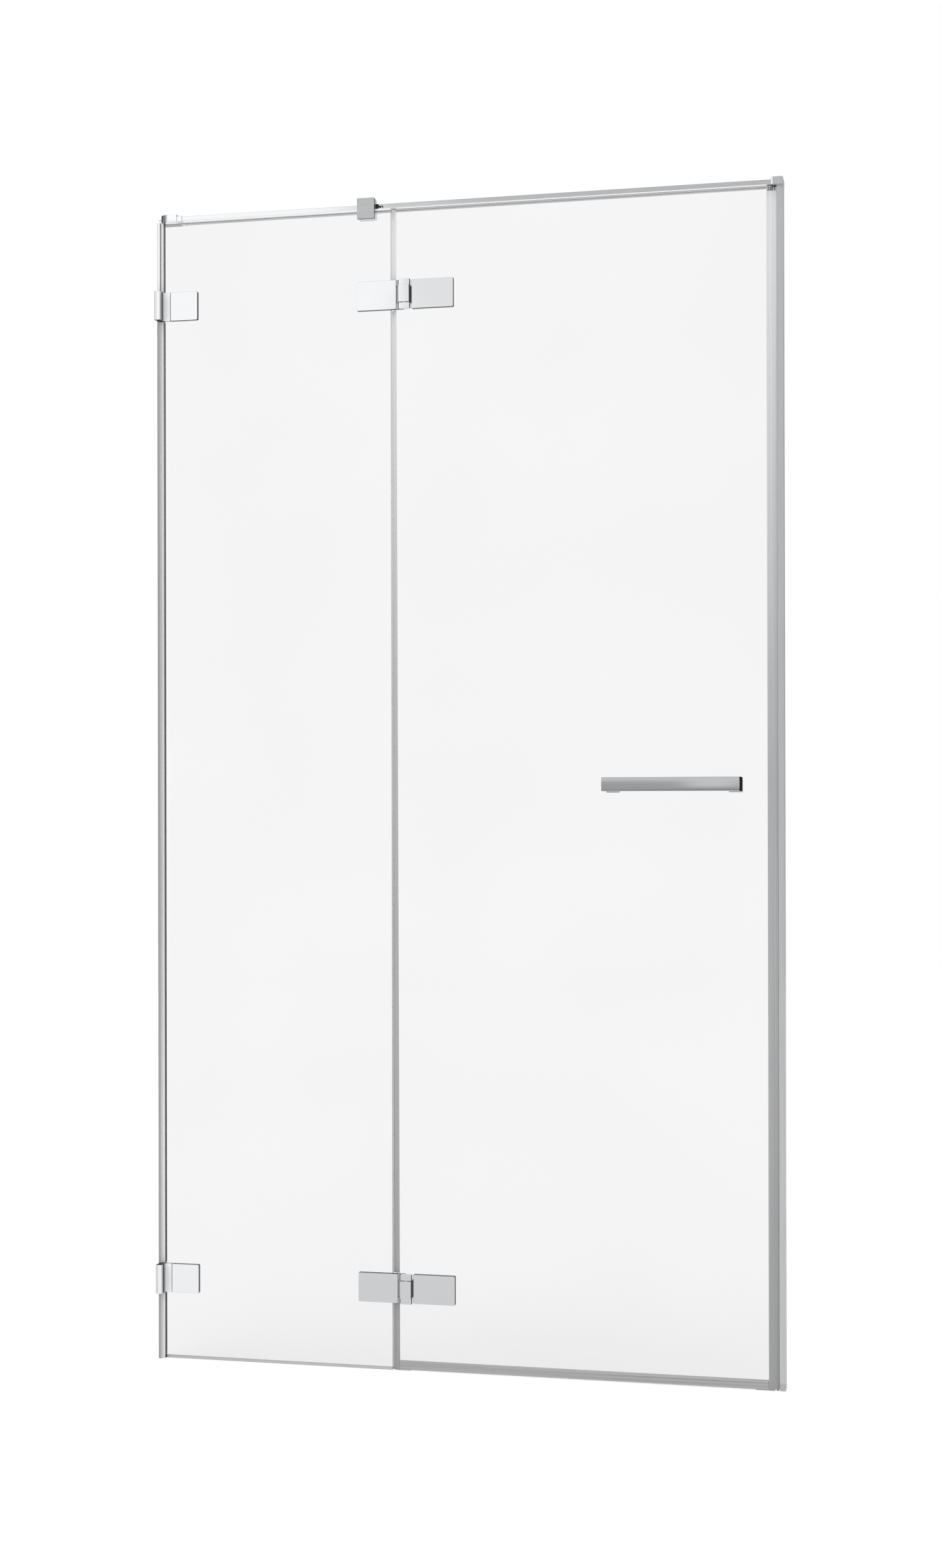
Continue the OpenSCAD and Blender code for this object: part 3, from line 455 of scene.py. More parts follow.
# The bands on the flange are painted light and shade.
front_lines = (1.8, 2.8, 4.4)        # where the bands on the flange's front meet
band_start, band_end = 5.0, 11.5     # the darkest band of its side, behind the front
neck_x, cover_right = 23.5, 73.4
cover_gap, overlap = 0.2, 0.3
bracket_finishes = [chrome, chrome_painted_half_shade, chrome_painted_deep_shade, neck_painted_highlight]
for level in ("upper", "lower"):
    low, high = corners(level + "_bracket_cover")
    z0, z1 = low[2], high[2]
    outline = round_box(z0, z1, low[0], cover_right, plate_corner)
    cover = prism(outline, low[1], high[1] - cover_gap, "y", sides=plate_sides(outline, level))
    piece(level + "_bracket_plate", [cover], bracket_finishes, "fixed_panel",
          [level + "_bracket_cover"])
    front, back = (corner[1] for corner in corners(level + "_bracket_body"))
    plan = np.concatenate([[[flange_w, -half_t], [0, -half_t]],
                           arc(wall_r, front + wall_r, wall_r, 180, 270, 2),
                           [[x, front] for x in front_lines],
                           arc(flange_w - front_r, front + front_r, front_r, 270, 360, 6),
                           [[flange_w, front + band_start], [flange_w, front + band_end], [flange_w, low[1]]]])
    # Painted bands of light and shade on the column's sides. Its top and bottom and the neck's sides take
    # painted shade too, and the neck's front takes the painted highlight.
    painted_bands = np.zeros(len(plan), int)
    painted_bands[2:7] = (1, 1, 1, 0, 1)     # the left round and the front, from the wall to the right round
    painted_bands[13:17] = (0, 1, 2, 1)      # the side towards the glass, from the front to the neck
    column = prism(plan, z0, z1, "z", 0.3, ends=2, sides=painted_bands)
    rear = prism(round_box(0, flange_w, -half_t, back, 0.5), z0 + flange_step, z1 - flange_step, "z", 0.3)
    neck = prism(round_box(z0, z1, flange_w - overlap, neck_x, 0.4), low[1], high[1], "y", 0.3, ends=3, sides=1)
    piece(level + "_bracket_column", [column, rear, neck], bracket_finishes, "fixed_panel",
          [level + "_bracket_body"])
    eased(level + "_bracket_body", level + "_bracket_leaf", 0.4, chrome, "fixed_panel",
          cut_x=flange_w + 0.1)

# %% [markdown]
# ## Hinges
#
# The hinge plates match the bracket plates. The knuckles are flat-fronted blocks around a vertical
# pin: the outer two belong to the fixed panel and the middle one, which stands further out, to the
# door. Their backs are rounder, so that they clear the glass when the door turns. Arms join the
# knuckles to their plates and a lip lies between them. The knuckles' sides, the arms and the lip take
# painted shade, and dark strips of painted shade fill the gaps beside the knuckles.

# %% Knuckles
def knuckle(front, z0, z1):
    """A block round the hinge axis with small front corners, large rear corners and painted shade on its
    left and right sides.
    """
    half_w, back, front_r, back_r = 9.65, 5.5, 1.0, 4.0
    outline = round_box(hinge_x - half_w, hinge_x + half_w, hinge_y - front, hinge_y + back,
                        (back_r, back_r, front_r, front_r))
    sides = np.maximum(facing(outline, (1, 0), 2, 0), facing(outline, (-1, 0), 2, 0))
    return prism(outline, z0, z1, "z", 0.3, sides=sides)

print("knuckle faces:", len(knuckle(5, 0, 10)[1]))

# %% Hinge leaves
end_knuckle, seg_gap = 9.9, 0.4
end_front, mid_front = 4.7, 8.0
fixed_plate_end, door_plate_start = hinge_x - 15.25, hinge_x + 10.7
plate_front, plate_back = -half_t - 8.0, -half_t - 1.0
arm_front, arm_back, arm_in = plate_front + 1, plate_back - 0.2, 3
shade_start, shade_end, lip_start = fixed_plate_end + 2.3, hinge_x - 8, fixed_plate_end + 1.2
# Painted shade: a half shade on the arms, and deeper shades on the plates' edges, the knuckles, the lip and the
# dark strips.
leaf_finishes = [chrome, chrome_painted_half_shade, chrome_painted_deep_shade, chrome_painted_shade]
for level in ("upper", "lower"):
    low, high = corners(level + "_hinge_fixed_leaf")
    z0, z1 = low[2], high[2]
    plate = round_box(z0, z1, low[0], fixed_plate_end, plate_corner)
    solids = [prism(plate, plate_front, plate_back, "y", sides=plate_sides(plate, level))]
    arm = round_box(fixed_plate_end - arm_in, hinge_x - arm_in, arm_front, arm_back, 0.5)
    shade_strip = round_box(shade_start, shade_end, plate_front + 0.9, plate_back - 0.5, 0.1, 2)
    for a, b in ((z0, z0 + end_knuckle), (z1 - end_knuckle, z1)):
        solids.append(knuckle(end_front, a, b))
        solids.append(prism(arm, a, b, "z", 0.4, ends=2, sides=1))
        solids.append(prism(shade_strip, a + 0.2, b - 0.2, "z", 0.1, ends=2, sides=3))
    piece(level + "_hinge_fixed_plate", solids, leaf_finishes, "fixed_panel",
          [level + "_hinge_fixed_leaf"])
    low, high = corners(level + "_hinge_door_leaf")
    plate = round_box(z0, z1, door_plate_start, high[0], plate_corner)
    a, b = z0 + end_knuckle + seg_gap, z1 - end_knuckle - seg_gap
    arm = round_box(hinge_x + arm_in, door_plate_start + arm_in, arm_front, arm_back, 0.5)
    lip = round_box(lip_start, hinge_x - arm_in, plate_front + 3, arm_back, 0.5)
    solids = [prism(plate, plate_front, plate_back, "y", sides=plate_sides(plate, level)),
              knuckle(mid_front, a, b),
              prism(arm, a, b, "z", 0.4, ends=2, sides=1), prism(lip, a, b, "z", 0.4, ends=2, sides=3)]
    piece(level + "_hinge_door_plate", solids, leaf_finishes, "door", [level + "_hinge_door_leaf"])

# %% Inner plates of the hinges
eased("hinge_fixed_back_plates", "hinge_fixed_inner_plates", 0.4, chrome, "fixed_panel")
eased("hinge_door_back_plates", "hinge_door_inner_plates", 0.4, chrome, "door")

# %% [markdown]
# ## Stabiliser bar and clamp
#
# A flat bar of 32 x 8 mm crosses over both panels. It is a drawn bar with a small round on its long
# edges; the round at its lower front edge and the front strip of its underside take a painted
# highlight. A clear strip lies between the bar and the top edge of each panel. The clamp block is a
# brushed front plate on a body, with the body's rear top edge rounded away, and the front plate's rim
# takes painted shade. A small black piece with a stud and a barb sits beside it: painted shade where
# the bar and the block show dark marks.

# %% Stabiliser bar
low, high = corners("stabiliser_bar")
bar_foot = low[2]
r = 0.5
section = np.concatenate([arc(high[1] - r, high[2] - r, r, 0, 90, 4),
                          arc(low[1] + r, high[2] - r, r, 90, 180, 4),
                          arc(low[1] + r, low[2] + r, r, 180, 270, 4), [[-half_t, low[2]]],
                          arc(high[1] - r, low[2] + r, r, 270, 360, 4)])
# Painted highlight on the lower front round and on the front of the underside.
painted_rim_highlight = np.zeros(len(section), int)
painted_rim_highlight[12:15] = (1, 1, 2)          # the round at the lower front edge and the front of the underside
bar = prism(section, low[0], high[0], "x", 0.3, sides=painted_rim_highlight)
strip_top = low[2] + 0.5            # inside the bar
over_fixed = prism(round_box(-half_t, half_t, glass_high[2] - 0.05, strip_top, 0.1, 2),
                   glass_low[0], glass_high[0], "x", 0.1, ends=3, sides=3)
over_door = prism(round_box(-half_t, half_t, door_high[2] + 0.4, strip_top, 0.1, 2),
                  door_low[0], door_high[0], "x", 0.1, ends=3, sides=3)
piece("stabiliser_flat_bar", [bar, over_fixed, over_door], [satin_chrome, chrome_painted_highlight, underside_painted_highlight, gap_strip],
      "fixed_panel", ["stabiliser_bar"])

# %% Clamp block
low, high = corners("clamp_block")
slab_t, plate_t, cut, step_in, end_in = 1.2, 5.5, 3.0, 0.5, 0.4
face = round_box(low[2], high[2], low[0], high[0], 0.8)
slab = prism(face, low[1], low[1] + slab_t, "y", 0.5)
# The front plate's rim takes painted shade.
front = prism(face, low[1] + slab_t, low[1] + plate_t, "y", 0.1, sides=1)
section = np.concatenate([[[low[1] + plate_t, low[2] + step_in], [high[1], low[2] + step_in]],
                          arc(high[1] - cut, high[2] - step_in - cut, cut, 0, 90, 6),
                          [[low[1] + plate_t, high[2] - step_in]]])
rear = prism(section, low[0] + end_in, high[0] - end_in, "x", 0.4, ends=2, sides=2)
piece("clamp_front_block", [slab, front, rear], [brushed_block, chrome_painted_deep_shade, chrome], "fixed_panel",
      ["clamp_block"])
eased("clamp_back_plate", "clamp_inner_plate", 0.4, chrome, "fixed_panel")

# %% Black stop on the bar, painted shade
low, high = corners("bar_stop")
stop_end = low[0] + 5.9
stud_x, stud_z, stud_r = low[0] + 8.2, bar_foot + 3.4, 1.9
barb_x, barb_z = stud_x + stud_r + 1.0, bar_foot + 2.2
# Painted shade: a black solid where the bar and the block show dark marks.
body_outline = round_box(low[2], high[2], low[0], stop_end, 0.8)
stud_outline = arc(stud_z, stud_x, stud_r, 0, 345, 23)
barb_outline = np.array([[barb_z, barb_x], [barb_z, high[0]], [barb_z + 4.4, barb_x]])[::-1]
piece("bar_stop_painted_shade", [prism(outline, low[1], high[1], "y", 0.2) for outline in
                          (body_outline, stud_outline, barb_outline)],
      [rubber], "fixed_panel", ["bar_stop"])

# %% Fittings at the walls
low, high = corners("left_bar_fitting")
left_end, right_end, round_r = 6.2, 37.4, 11.5
half_groove, groove_depth = 0.5, 0.12
front_line = [[left_end + at + step, low[1] + deep] for at in (14.6, 18.6, 22.0, 25.4)
              for step, deep in ((-half_groove, 0.0), (0.0, groove_depth), (half_groove, 0.0))]
plan = np.concatenate([arc(left_end + round_r, low[1] + round_r, round_r, 180, 270, 12), front_line,
                       [[right_end, low[1]], [right_end, high[1]], [left_end, high[1]]]])
plan[-2:, 1] = -half_t
# Painted light and shade on the chrome: the round goes from a half shade to a shade towards the front, the
# right side takes a half shade, the top and bottom a painted highlight, and the rear block's top and bottom a
# half shade.
sides = np.zeros(len(plan), int)
sides[2:13] = (1, 1, 1, 1, 2, 2, 2, 2, 2, 2, 1)   # the round turns from pale to dark towards the front
sides[-3] = 1
holder = prism(plan, low[2], high[2], "z", 0.4, ends=3, sides=sides)
plan = np.array([[right_end + 1, high[1]], [left_end, high[1]], [left_end, -half_t], [right_end - 2, -half_t]])
rear = prism(plan, low[2], high[2], "z", 0.4, ends=1)
piece("left_bar_holder", [holder, rear], [chrome, chrome_painted_half_shade, chrome_painted_shade, chrome_painted_highlight], "fixed_panel",
      ["left_bar_fitting"])
low, high = corners("left_bar_collar")
# The ring's ends take painted shade.
collar = prism(round_box(low[1], high[1], low[2], high[2], 0.6), right_end - 0.3, high[0] - 1.6, "x", 0.3,
               ends=1)
piece("left_bar_ring", [collar], [chrome, chrome_painted_shade], "fixed_panel", ["left_bar_collar"])
low, high = corners("right_bar_fitting")
corner_r = 2.6
plan = np.concatenate([[[high[0], high[1]], [low[0], high[1]]],
                       arc(low[0] + corner_r, low[1] + corner_r, corner_r, 180, 270, 6), [[high[0], low[1]]]])
# The left round, the top and the bottom take a painted highlight.
sides = np.zeros(len(plan), int)
sides[1:8] = 1
piece("right_bar_holder", [prism(plan, low[2], high[2], "z", 0.3, ends=1, sides=sides)],
      [aluminium, chrome_painted_highlight], "fixed_panel", ["right_bar_fitting"])

# %% [markdown]
# ## Handle
#
# The handle is one flat bar, 23.5 mm high, bent into a long U that stands off the glass. Its outline
# from above is that U, carried upwards, so the legs and the grip are one solid. Its faces are ever
# so slightly crowned, which makes a soft gradient from top to bottom. The outer side of the right
# leg carries a black cap. Two base plates spread the load on the glass.

# %% Handle grip
grip_low, grip_high = corners("handle_grip")
grip_t, leg_w, crown = 12.0, 22.5, 0.3
inner = grip_low[1] + grip_t
u_shape = np.array([[grip_low[0], grip_low[1]], [grip_high[0], grip_low[1]], [grip_high[0], grip_high[1]],
                    [grip_high[0] - leg_w, grip_high[1]], [grip_high[0] - leg_w, inner],
                    [grip_low[0] + leg_w, inner], [grip_low[0] + leg_w, grip_high[1]],
                    [grip_low[0], grip_high[1]]])
grip = prism(u_shape, grip_low[2], grip_high[2], "z", 0.8, sides=[0, 1, 0, 0, 0, 0, 0, 0], crown=crown)
piece("handle_u_grip", [grip], [grip_chrome, black_cap], "door", ["handle_grip"])

# %% Handle base plates and inner caps
low, high = corners("handle_rosettes")
# The base plates' rims take painted shade.
solids = []
for x0 in (low[0], high[0] - leg_w):
    base = round_box(low[2], grip_high[2] - 0.4, x0, x0 + leg_w, 1.5)
    solids.append(prism(base, low[1], high[1], "y", 0.4, sides=1))
piece("handle_base_plates", solids, [satin_chrome, chrome_painted_shade], "door", ["handle_rosettes"])
eased("handle_inner_caps", "handle_round_caps", 0.6, chrome, "door")

# %% [markdown]
# ## Wall gasket and seals
#
# The seals are thin extrusions that grip the glass, so each is an outline around the glass edge,
# carried along it. The gasket at the left wall has a darker lip in front, a light web beside it and,
# against the glass, an edge darkened with painted shade. Above the upper bracket the lip's side takes
# that painted shade too, and each part's tone changes with the height as painted light. It stops at
# the brackets, as the hinge-side seal does at the hinges. Sheets of 0.1 mm stand for the ground edges
# of the glass where no seal covers them.

# %% Left wall gasket
low, high = corners("wall_gasket")
bracket_low, bracket_high = corners("lower_bracket_body")
upper_low, upper_high = corners("upper_bracket_body")
gap = 0.6
stretches = [(low[2], bracket_low[2] - gap), (bracket_high[2] + gap, upper_low[2] - gap),
             (upper_high[2] + gap, high[2])]
front, web_front, lip_w, rib_w, web_w = low[1], -10.5, 5.6, 2.2, 11.0
lip = np.array([[lip_w, web_front + 0.1], [0, web_front + 0.1], [0, front + 0.6], [0.6, front],
                [rib_w, front], [lip_w - 0.3, front], [lip_w, front + 0.3]])
web = np.array([[web_w, half_t], [0, half_t], [0, web_front], [web_w - 0.2, web_front],
                [web_w, web_front + 0.2]])
solids = []
# Above the upper bracket the lip's side takes the painted shade of the edge.
for lip_side, (z0, z1) in zip((1, 1, 2), stretches):     # the lip's side is dark above the upper bracket
    solids.append(prism(lip, z0, z1, "z", 0.2, ends=0, sides=[0, 3, 3, 3, 0, lip_side, lip_side]))
    solids.append(prism(web, z0, z1, "z", 0.2, ends=1, sides=[1, 1, 1, 2, 2]))
piece("left_wall_gasket", solids, [gasket_lip, gasket_web, gasket_painted_shade, gasket_rib], "fixed_panel",
      ["wall_gasket"])

# %% Strip under the fixed glass
half_sheet = 0.05

def ground_sheet(z, x0, x1):
    """A sheet of 0.1 mm on a horizontal glass edge at height z, from x0 to x1."""
    return prism(round_box(-half_t, half_t, z - half_sheet, z + half_sheet, 0.02, 1), x0, x1, "x", 0.02,
                 ends=1, sides=1)

low, high = corners("fixed_bottom_seal")
section = round_box(low[1], high[1], low[2], high[2], 0.5)
ground_edge = prism(round_box(glass_high[0] - half_sheet, glass_high[0] + half_sheet, -half_t, half_t, 0.02, 1),
                    high[2], glass_high[2], "z", 0.02, ends=1, sides=1)
ground_foot = ground_sheet(glass_low[2], glass_low[0] + 0.5, glass_high[0])
piece("rubber_foot_strip", [prism(section, low[0], high[0], "x", 0.3), ground_edge, ground_foot],
      [strip_rubber, ground_glass], "fixed_panel", ["fixed_bottom_seal"])

# %% Seal on the hinge edge of the door
low, high = corners("mid_seal")
hinge_low, hinge_high = corners("lower_hinge_door_leaf")
upper_hinge_low, upper_hinge_high = corners("upper_hinge_door_leaf")
web_x, rear_x = door_low[0] - 1.4, door_low[0] + 0.4
slot_half, slot_end = half_t + 0.05, door_low[0] - 0.1
tube_r = 2.6
outline = np.concatenate([[[rear_x, high[1]], [web_x, high[1]], [web_x, tube_r]],
                          arc(low[0] + tube_r, 0, tube_r, 90, 270, 12),
                          [[web_x, -tube_r], [web_x, low[1]], [high[0], low[1]], [high[0], -slot_half],
                           [slot_end, -slot_half], [slot_end, slot_half], [rear_x, slot_half]]])
stretches = [(low[2], hinge_low[2] - gap), (hinge_high[2] + gap, upper_hinge_low[2] - gap),
             (upper_hinge_high[2] + gap, high[2])]
seal_runs = [prism(outline, z0, z1, "z", 0.15) for z0, z1 in stretches]
wider_below, taper = 2.0, 3.6
for points, faces, picks in seal_runs:
    free_end = points[:, 0] > door_low[0] + 1
    points[free_end, 0] += wider_below - taper * points[free_end, 2] / door_high[2]
ground_top = ground_sheet(door_high[2], door_low[0] + 1, door_high[0] - 1)
piece("hinge_edge_seal", seal_runs + [ground_top], [pvc, ground_glass], "door", ["mid_seal"])

# %% Magnetic seal on the free edge
low, high = corners("magnetic_seal")
edge = door_high[0] + 0.1
clip = np.array([[low[0], low[1]], [edge + 1.2, low[1]], [edge + 1.2, high[1]], [low[0], high[1]],
                 [low[0], slot_half], [edge, slot_half], [edge, -slot_half], [low[0], -slot_half]])
chamber = round_box(edge + 0.9, high[0] + 0.65, low[1], high[1], 0.8)
plug_h = 6.0
plugs = [prism(round_box(edge + x0, edge + x1, low[1] - 0.15, high[1], 0.2, 2), high[2] - plug_h, high[2],
               "z", 0.1, ends=1, sides=1) for x0, x1 in ((-6.9, -4.4), (-3.6, 2.6), (3.4, 6.3))]
seal_runs = [prism(clip, low[2], high[2], "z", 0.15), prism(chamber, low[2] + 2.4, high[2], "z", 0.3)]
piece("free_edge_seal", seal_runs + plugs, [pvc, grey_plug], "door", ["magnetic_seal"])

# %% Drip seal under the door
# The section runs down the front wall, past a small bead, round the front fin, along the web under
# the glass, round the rear fin and up the rear wall, and back through the slot for the glass.
low, high = corners("drip_seal")
top, lift, foot = high[2] - 0.8, door_low[2], low[2]
left_end = corners("mid_seal")[1][0] + 2.05
wall_t, rear_lower = 1.2, 3.0
front_y, rear_y, rear_top, web_z, fin_z = -half_t - wall_t, half_t + wall_t, top - rear_lower, lift - 1.4, 6
section = np.array([[front_y, top], [front_y, lift], [front_y - 0.4, lift - 0.3], [front_y - 0.4, lift - 0.8],
                    [front_y, lift - 1.1], [front_y, fin_z], [front_y - wall_t, foot], [front_y + 0.6, foot],
                    [-half_t + 0.4, fin_z], [-half_t + 0.4, web_z], [half_t - 3, web_z],
                    [half_t + 3.4, 5], [half_t + 4.6, 5.6], [rear_y, 11.4], [rear_y, rear_top],
                    [slot_half, rear_top], [slot_half, lift - 0.1], [-slot_half, lift - 0.1],
                    [-slot_half, top]])
ground_foot = ground_sheet(door_low[2], door_low[0] + 0.5, door_high[0] - 0.5)
piece("door_drip_seal", [prism(section, left_end, high[0], "x", 0.15), ground_foot], [pvc_foot, ground_glass],
      "door", ["drip_seal"])
low, high = corners("drip_seal_corners")
plug_l = 21.0
plug_front, plug_back, plug_top = -half_t + 0.5, half_t - 3.1, lift - 1.5
section = np.array([[plug_front, plug_top], [plug_front, fin_z], [-half_t - 0.5, foot],
                    [-half_t - 0.5, low[2]], [plug_back, low[2]], [plug_back, plug_top]])
piece("drip_seal_plugs", [prism(section, x0, x0 + plug_l, "x", 0.2) for x0 in (low[0], high[0] - plug_l)],
      [pvc_foot], "door", ["drip_seal_corners"])

# %% [markdown]
# ## Soft pads
#
# A pad of 1 mm lies between each plate and the glass. They only show as a thin line, so each is a
# plain sheet with soft corners. Beside each bracket plate a thin black sheet is painted shade.

# %% Pads under the plates
def pad_pair(outer, inner):
    """Two sheets with soft corners: outer and inner are (x0, x1, z0, z1) in front of and behind the glass."""
    return [prism(round_box(z0, z1, x0, x1, 1.5), y + 0.02, y + 0.98, "y", 0.2)
            for (x0, x1, z0, z1), y in ((outer, -half_t - 1), (inner, half_t))]

front_in, back_in = 1.0, 7.0
levels = [(corners(level + "_bracket_cover")[0][2], corners(level + "_bracket_cover")[1][2])
          for level in ("lower", "upper")]
for node, body in (("bracket_pads", "fixed_panel"), ("hinge_fixed_pads", "fixed_panel"),
                   ("hinge_door_pads", "door")):
    low, high = corners(node)
    front_x, back_x = (low[0], high[0]), (low[0] + 2, high[0])
    if node == "bracket_pads":
        front_x, back_x = (13.0, 72.8), (15.0, 66.0)
    elif node == "hinge_door_pads":
        back_x = (low[0] + 2, high[0] - back_in + 1)
    solids = []
    for z0, z1 in levels:
        solids += pad_pair((*front_x, z0 + front_in, z1 - front_in), (*back_x, z0 + back_in, z1 - back_in))
    if node == "bracket_pads":
        # A thin black sheet beside each bracket plate: painted shade.
        shade_x = corners("upper_bracket_cover")[0][0]
        for z0, z1 in levels:
            shade_strip = round_box(z0 + 16, z1 - 1, shade_x - 0.38, shade_x - 0.02, 0.1, 2)
            solids.append(prism(shade_strip, plate_front + 0.1, plate_back, "y", 0.05, ends=1, sides=1))
    piece(node.replace("_pads", "_soft_pads"), solids, [pvc, rubber], body, [node])

# %% Pads of the clamp
low, high = corners("clamp_pads")
inset = 4.5
piece("clamp_soft_pads", pad_pair((low[0], high[0], low[2], high[2]),
                                  (low[0] + inset, high[0] - inset, low[2] + inset, high[2])),
      [rubber], "fixed_panel", ["clamp_pads"])

# %% [markdown]
# ## Wall profile
#
# The inner profile slides in a channel on the right wall. Both keep their section, and the visible
# one gets eased edges, so its front corners catch a fine line of light.

# %% Strike profile and foot cap
eased("strike_profile", "strike_extrusion", 0.25, aluminium, "fixed_panel")
eased("profile_foot_cap", "profile_foot", 0.4, grey_plastic, "fixed_panel")

# %% [markdown]
# ## Finishes of the CAD parts
#
# Glass, screws and small turned parts keep their CAD meshes. Each only gets its material.

# %% Assign finishes
finish_of = {
    "fixed_glass": glass, "door_glass": glass,
    "bracket_sleeves": nylon, "bracket_screws": stainless,
    "left_bar_stud": chrome_painted_highlight, "bar_grub_screws": stainless, "clamp_screw": stainless,
    "wall_profile": aluminium, "strike_magnet": magnet, "profile_screws": stainless,
    "hinge_fixed_sleeves": nylon, "hinge_fixed_screws": stainless, "hinge_pins": stainless,
    "hinge_washers": nylon, "hinge_door_sleeves": nylon, "hinge_door_screws": stainless,
    "hinge_bushes": nylon, "door_magnet": magnet, "handle_sleeves": nylon, "handle_screws": stainless,
}
for name, finish in finish_of.items():
    nodes[name].data.materials.clear()
    nodes[name].data.materials.append(finish)
print("CAD parts with a finish:", len(finish_of))

# %% [markdown]
# ## Studio floor
#
# The photograph is a plain studio view on white. The floor is a wide white plane that keeps a faint
# shadow of the door: seen, mirrored or looked at through glass, about seven tenths of its white is
# its own and the rest is the light that falls on it. It is a little brighter where the camera sees
# it without glass between. In mirrors a painted pool of window light lies on it at the far left, in
# front of the door, and shows in the lower bracket.

# %% Floor
half_x, near_y, far_y = 6.0, -6.0, 7.4
own_glow, seen_glow, painted_pool_glow = 0.715, 0.105, 0.4
pool_x, pool_y = (0.11, -0.07), (-0.1, -0.3)     # where the pool starts and where it is full
floor_mesh = bpy.data.meshes.new("floor")
floor_mesh.from_pydata([(-half_x, near_y, 0), (half_x, near_y, 0), (half_x, far_y, 0), (-half_x, far_y, 0)],
                       [], [(0, 1, 2, 3)])
floor = new_object("floor", floor_mesh)
floor_paint, tree, output, place = start_material("white_floor")
rays = add(tree, "ShaderNodeLightPath")
seen = maths(tree, "MAXIMUM", rays.outputs["Is Camera Ray"], rays.outputs["Is Glossy Ray"])
seen = maths(tree, "MAXIMUM", seen, rays.outputs["Is Transmission Ray"])
axes = add(tree, "ShaderNodeSeparateXYZ", {"Vector": place})
left_side, in_front = [
    add(tree, "ShaderNodeMapRange", {"Value": axes.outputs[axis], "From Min": start, "From Max": full},
        interpolation_type="SMOOTHSTEP").outputs[0] for axis, (start, full) in (("X", pool_x), ("Y", pool_y))]
# A painted pool of window light on the floor, seen in mirrors only.
painted_pool = maths(tree, "MULTIPLY", left_side, in_front)
painted_pool = maths(tree, "MULTIPLY", painted_pool, rays.outputs["Is Glossy Ray"])
own = maths(tree, "MULTIPLY_ADD", painted_pool, painted_pool_glow, own_glow)
own = maths(tree, "MULTIPLY_ADD", rays.outputs["Is Camera Ray"], seen_glow, own)
lift = maths(tree, "MULTIPLY", seen, own)
paint_colour = add(tree, "ShaderNodeMix", {0: seen, 6: linear("F0F0F0"), 7: linear("8A8A8A")},
                   data_type="RGBA")
surface(tree, output, {"Base Color": paint_colour.outputs[2], "Roughness": 1.0, "Specular IOR Level": 0.0,
                       "Emission Color": (1, 1, 1, 1), "Emission Strength": lift})
floor_mesh.materials.append(floor_paint)
print("floor from Y", near_y, "to", far_y)

# %% [markdown]
# ## World
#
# The world is white to the camera and through the glass. Metal needs something to mirror, so glossy
# rays see a room: pale grey walls, painted over with soft-edged patches in degrees of bearing (0 is
# the way out of the shower, negative is left) and of height. A bright window stands high on the
# left, the side walls and the wall behind are darker, and smaller patches at the height of the
# camera give the handle its soft light above, its darker foot and the light spot near its end.

# %% World
world = bpy.data.worlds.new("studio")
bpy.context.scene.world = world
world.use_nodes = True
tree = world.node_tree
tree.nodes.clear()
sky = add(tree, "ShaderNodeTexCoord").outputs["Generated"]
axes = add(tree, "ShaderNodeSeparateXYZ", {"Vector": sky})
minus_y = maths(tree, "MULTIPLY", axes.outputs["Y"], -1.0)
bearing = maths(tree, "ARCTAN2", axes.outputs["X"], minus_y)
height = maths(tree, "ARCSINE", axes.outputs["Z"])

def paint_patch(under, level, bearings, heights, soft_bearing, soft_height):
    """The light so far, with a soft-edged patch of another level over it. Angles are in degrees."""
    mask = None
    for angle, (start, end), soft in ((bearing, bearings, soft_bearing), (height, heights, soft_height)):
        for border, way in ((start, 1), (end, -1)):
            edge = add(tree, "ShaderNodeMapRange",
                       {"Value": angle, "From Min": math.radians(border - way * soft),
                        "From Max": math.radians(border + way * soft)},
                       interpolation_type="SMOOTHSTEP").outputs[0]
            mask = edge if mask is None else maths(tree, "MULTIPLY", mask, edge)
    return add(tree, "ShaderNodeMix", {0: mask, 2: under, 3: level}).outputs[0]

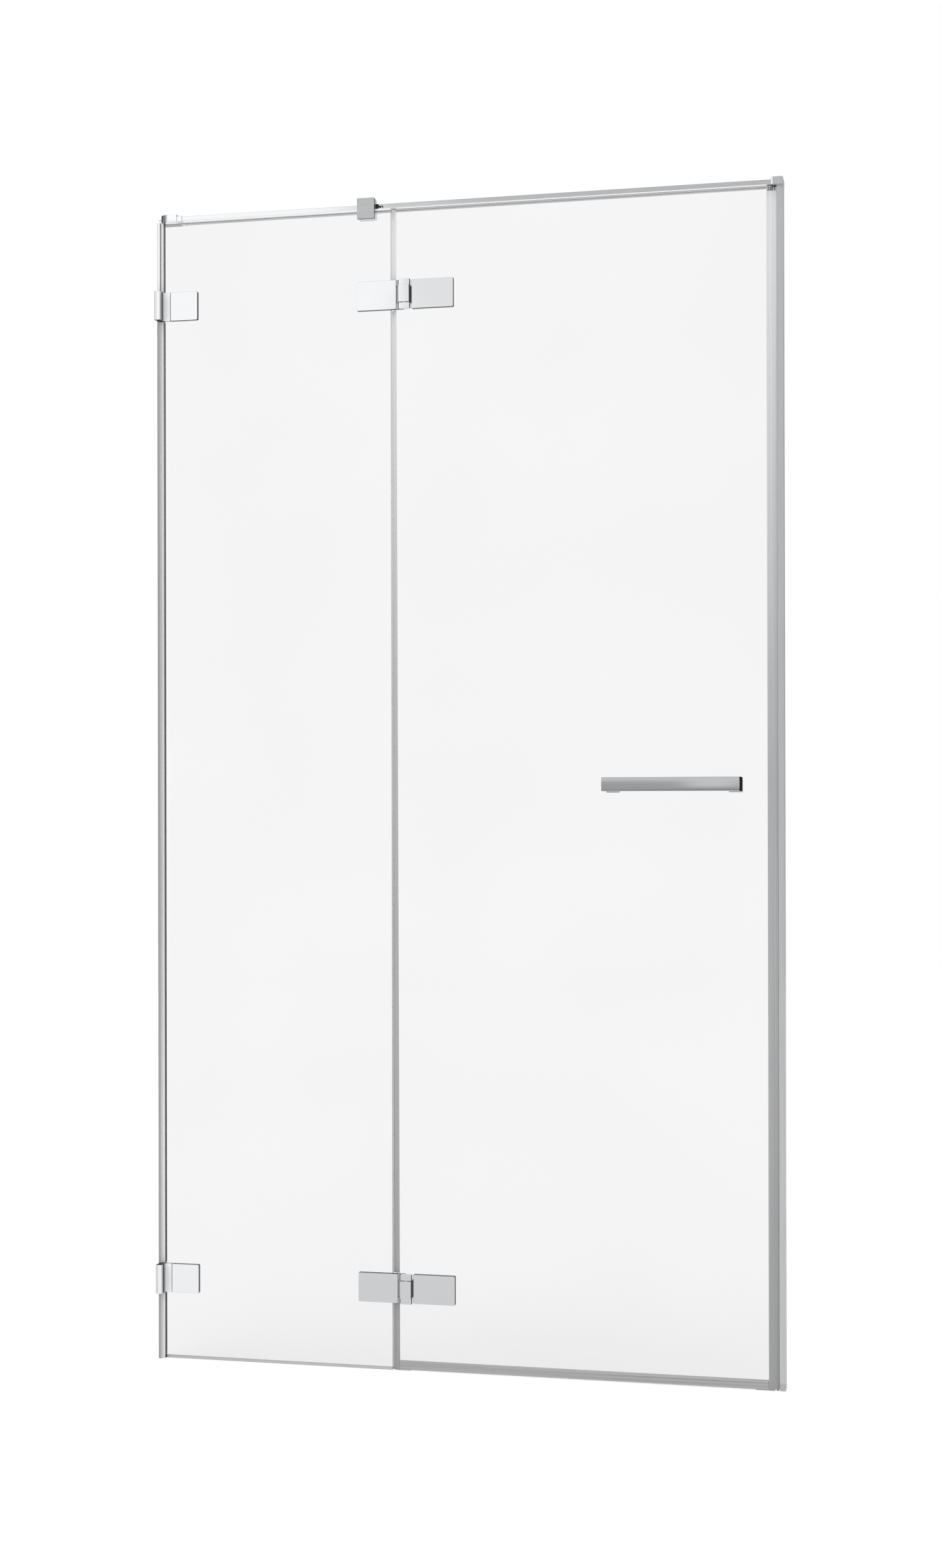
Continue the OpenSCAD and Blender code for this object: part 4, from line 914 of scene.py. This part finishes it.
light = 0.78
everywhere = (-100, 100)
patches = [
    (0.62, (25, 260), everywhere, 14, 5),              # the walls on the right and behind
    (0.35, (-260, -80), everywhere, 8, 5),             # the wall on the left
    (0.50, (-79, 24), (-100, -1), 5, 2),               # the ground in front
    (0.86, (-14, -3), (3, 9), 2, 2),                   # light above the handle
    (0.53, (-14, -4.9), (-3.5, 3), 2, 3),              # shade at the handle's height
    (0.38, (-9, -3), (-12, -4.5), 2, 2),               # shade below the handle
    (0.9, (-6.8, -5.5), (-2, 5.5), 0.35, 2),           # the light spot near the handle's end
    (1.21, (-14.2, -11.6), (6, 14.5), 0.25, 0.25),     # the window's frame
    (1.50, (-75, -14.2), (6, 14.5), 0.25, 0.25),       # the window's lower half
    (1.60, (-75, -15.3), (14.5, 40), 0.2, 0.25),       # and its upper half
]
for level, bearings, heights, soft_bearing, soft_height in patches:
    light = paint_patch(light, level, bearings, heights, soft_bearing, soft_height)
rays = add(tree, "ShaderNodeLightPath")
direct = maths(tree, "MAXIMUM", rays.outputs["Is Camera Ray"], rays.outputs["Is Transmission Ray"])
soft_level = 1.0
soft = add(tree, "ShaderNodeMix", {0: rays.outputs["Is Glossy Ray"], 2: soft_level, 3: light})
level = add(tree, "ShaderNodeMix", {0: direct, 2: soft.outputs[0], 3: 1.0})
shine = add(tree, "ShaderNodeBackground", {"Color": (1, 1, 1, 1), "Strength": level.outputs[0]})
add(tree, "ShaderNodeOutputWorld", {"Surface": shine.outputs["Background"]})
print("world light:", soft_level)

# %% Lamp
# A low wide sun from the upper left gives the soft parts a light and a shaded side. Metal doesn't
# mirror it, because the world's window does that.
lamp_data = bpy.data.lights.new("wide_sun", "SUN")
lamp_data.energy = 0.5
lamp_data.angle = math.radians(50)
lamp = new_object("wide_sun", lamp_data)
lamp.rotation_euler = (math.radians(35), 0, math.radians(-35))
lamp.visible_glossy = False
print("lamp strength:", lamp_data.energy)

# %% [markdown]
# ## Camera
#
# The straight edges of the door in the photograph fix the camera: a 50 mm lens, 3.6 m in front of
# the glass and to the right of the door's middle, at the height of the handle, turned 12.5 degrees
# to the left.

# %% Camera
camera_data = bpy.data.cameras.new("camera")
camera_data.lens = 50
camera_data.sensor_width = 36
camera_data.shift_y = 0.00994
camera = new_object("camera", camera_data)
camera.location = (1.35272, -3.60926, 0.96330)
yaw, pitch, roll = 0.217348, 0.002752, 0.001971
turn = (Matrix.Rotation(yaw, 3, "Z") @ Matrix.Rotation(math.pi / 2 + pitch, 3, "X")
        @ Matrix.Rotation(-roll, 3, "Z"))
camera.rotation_euler = turn.to_euler()
bpy.context.scene.camera = camera
bpy.context.scene.view_settings.view_transform = "Standard"
print("camera at", tuple(camera.location))
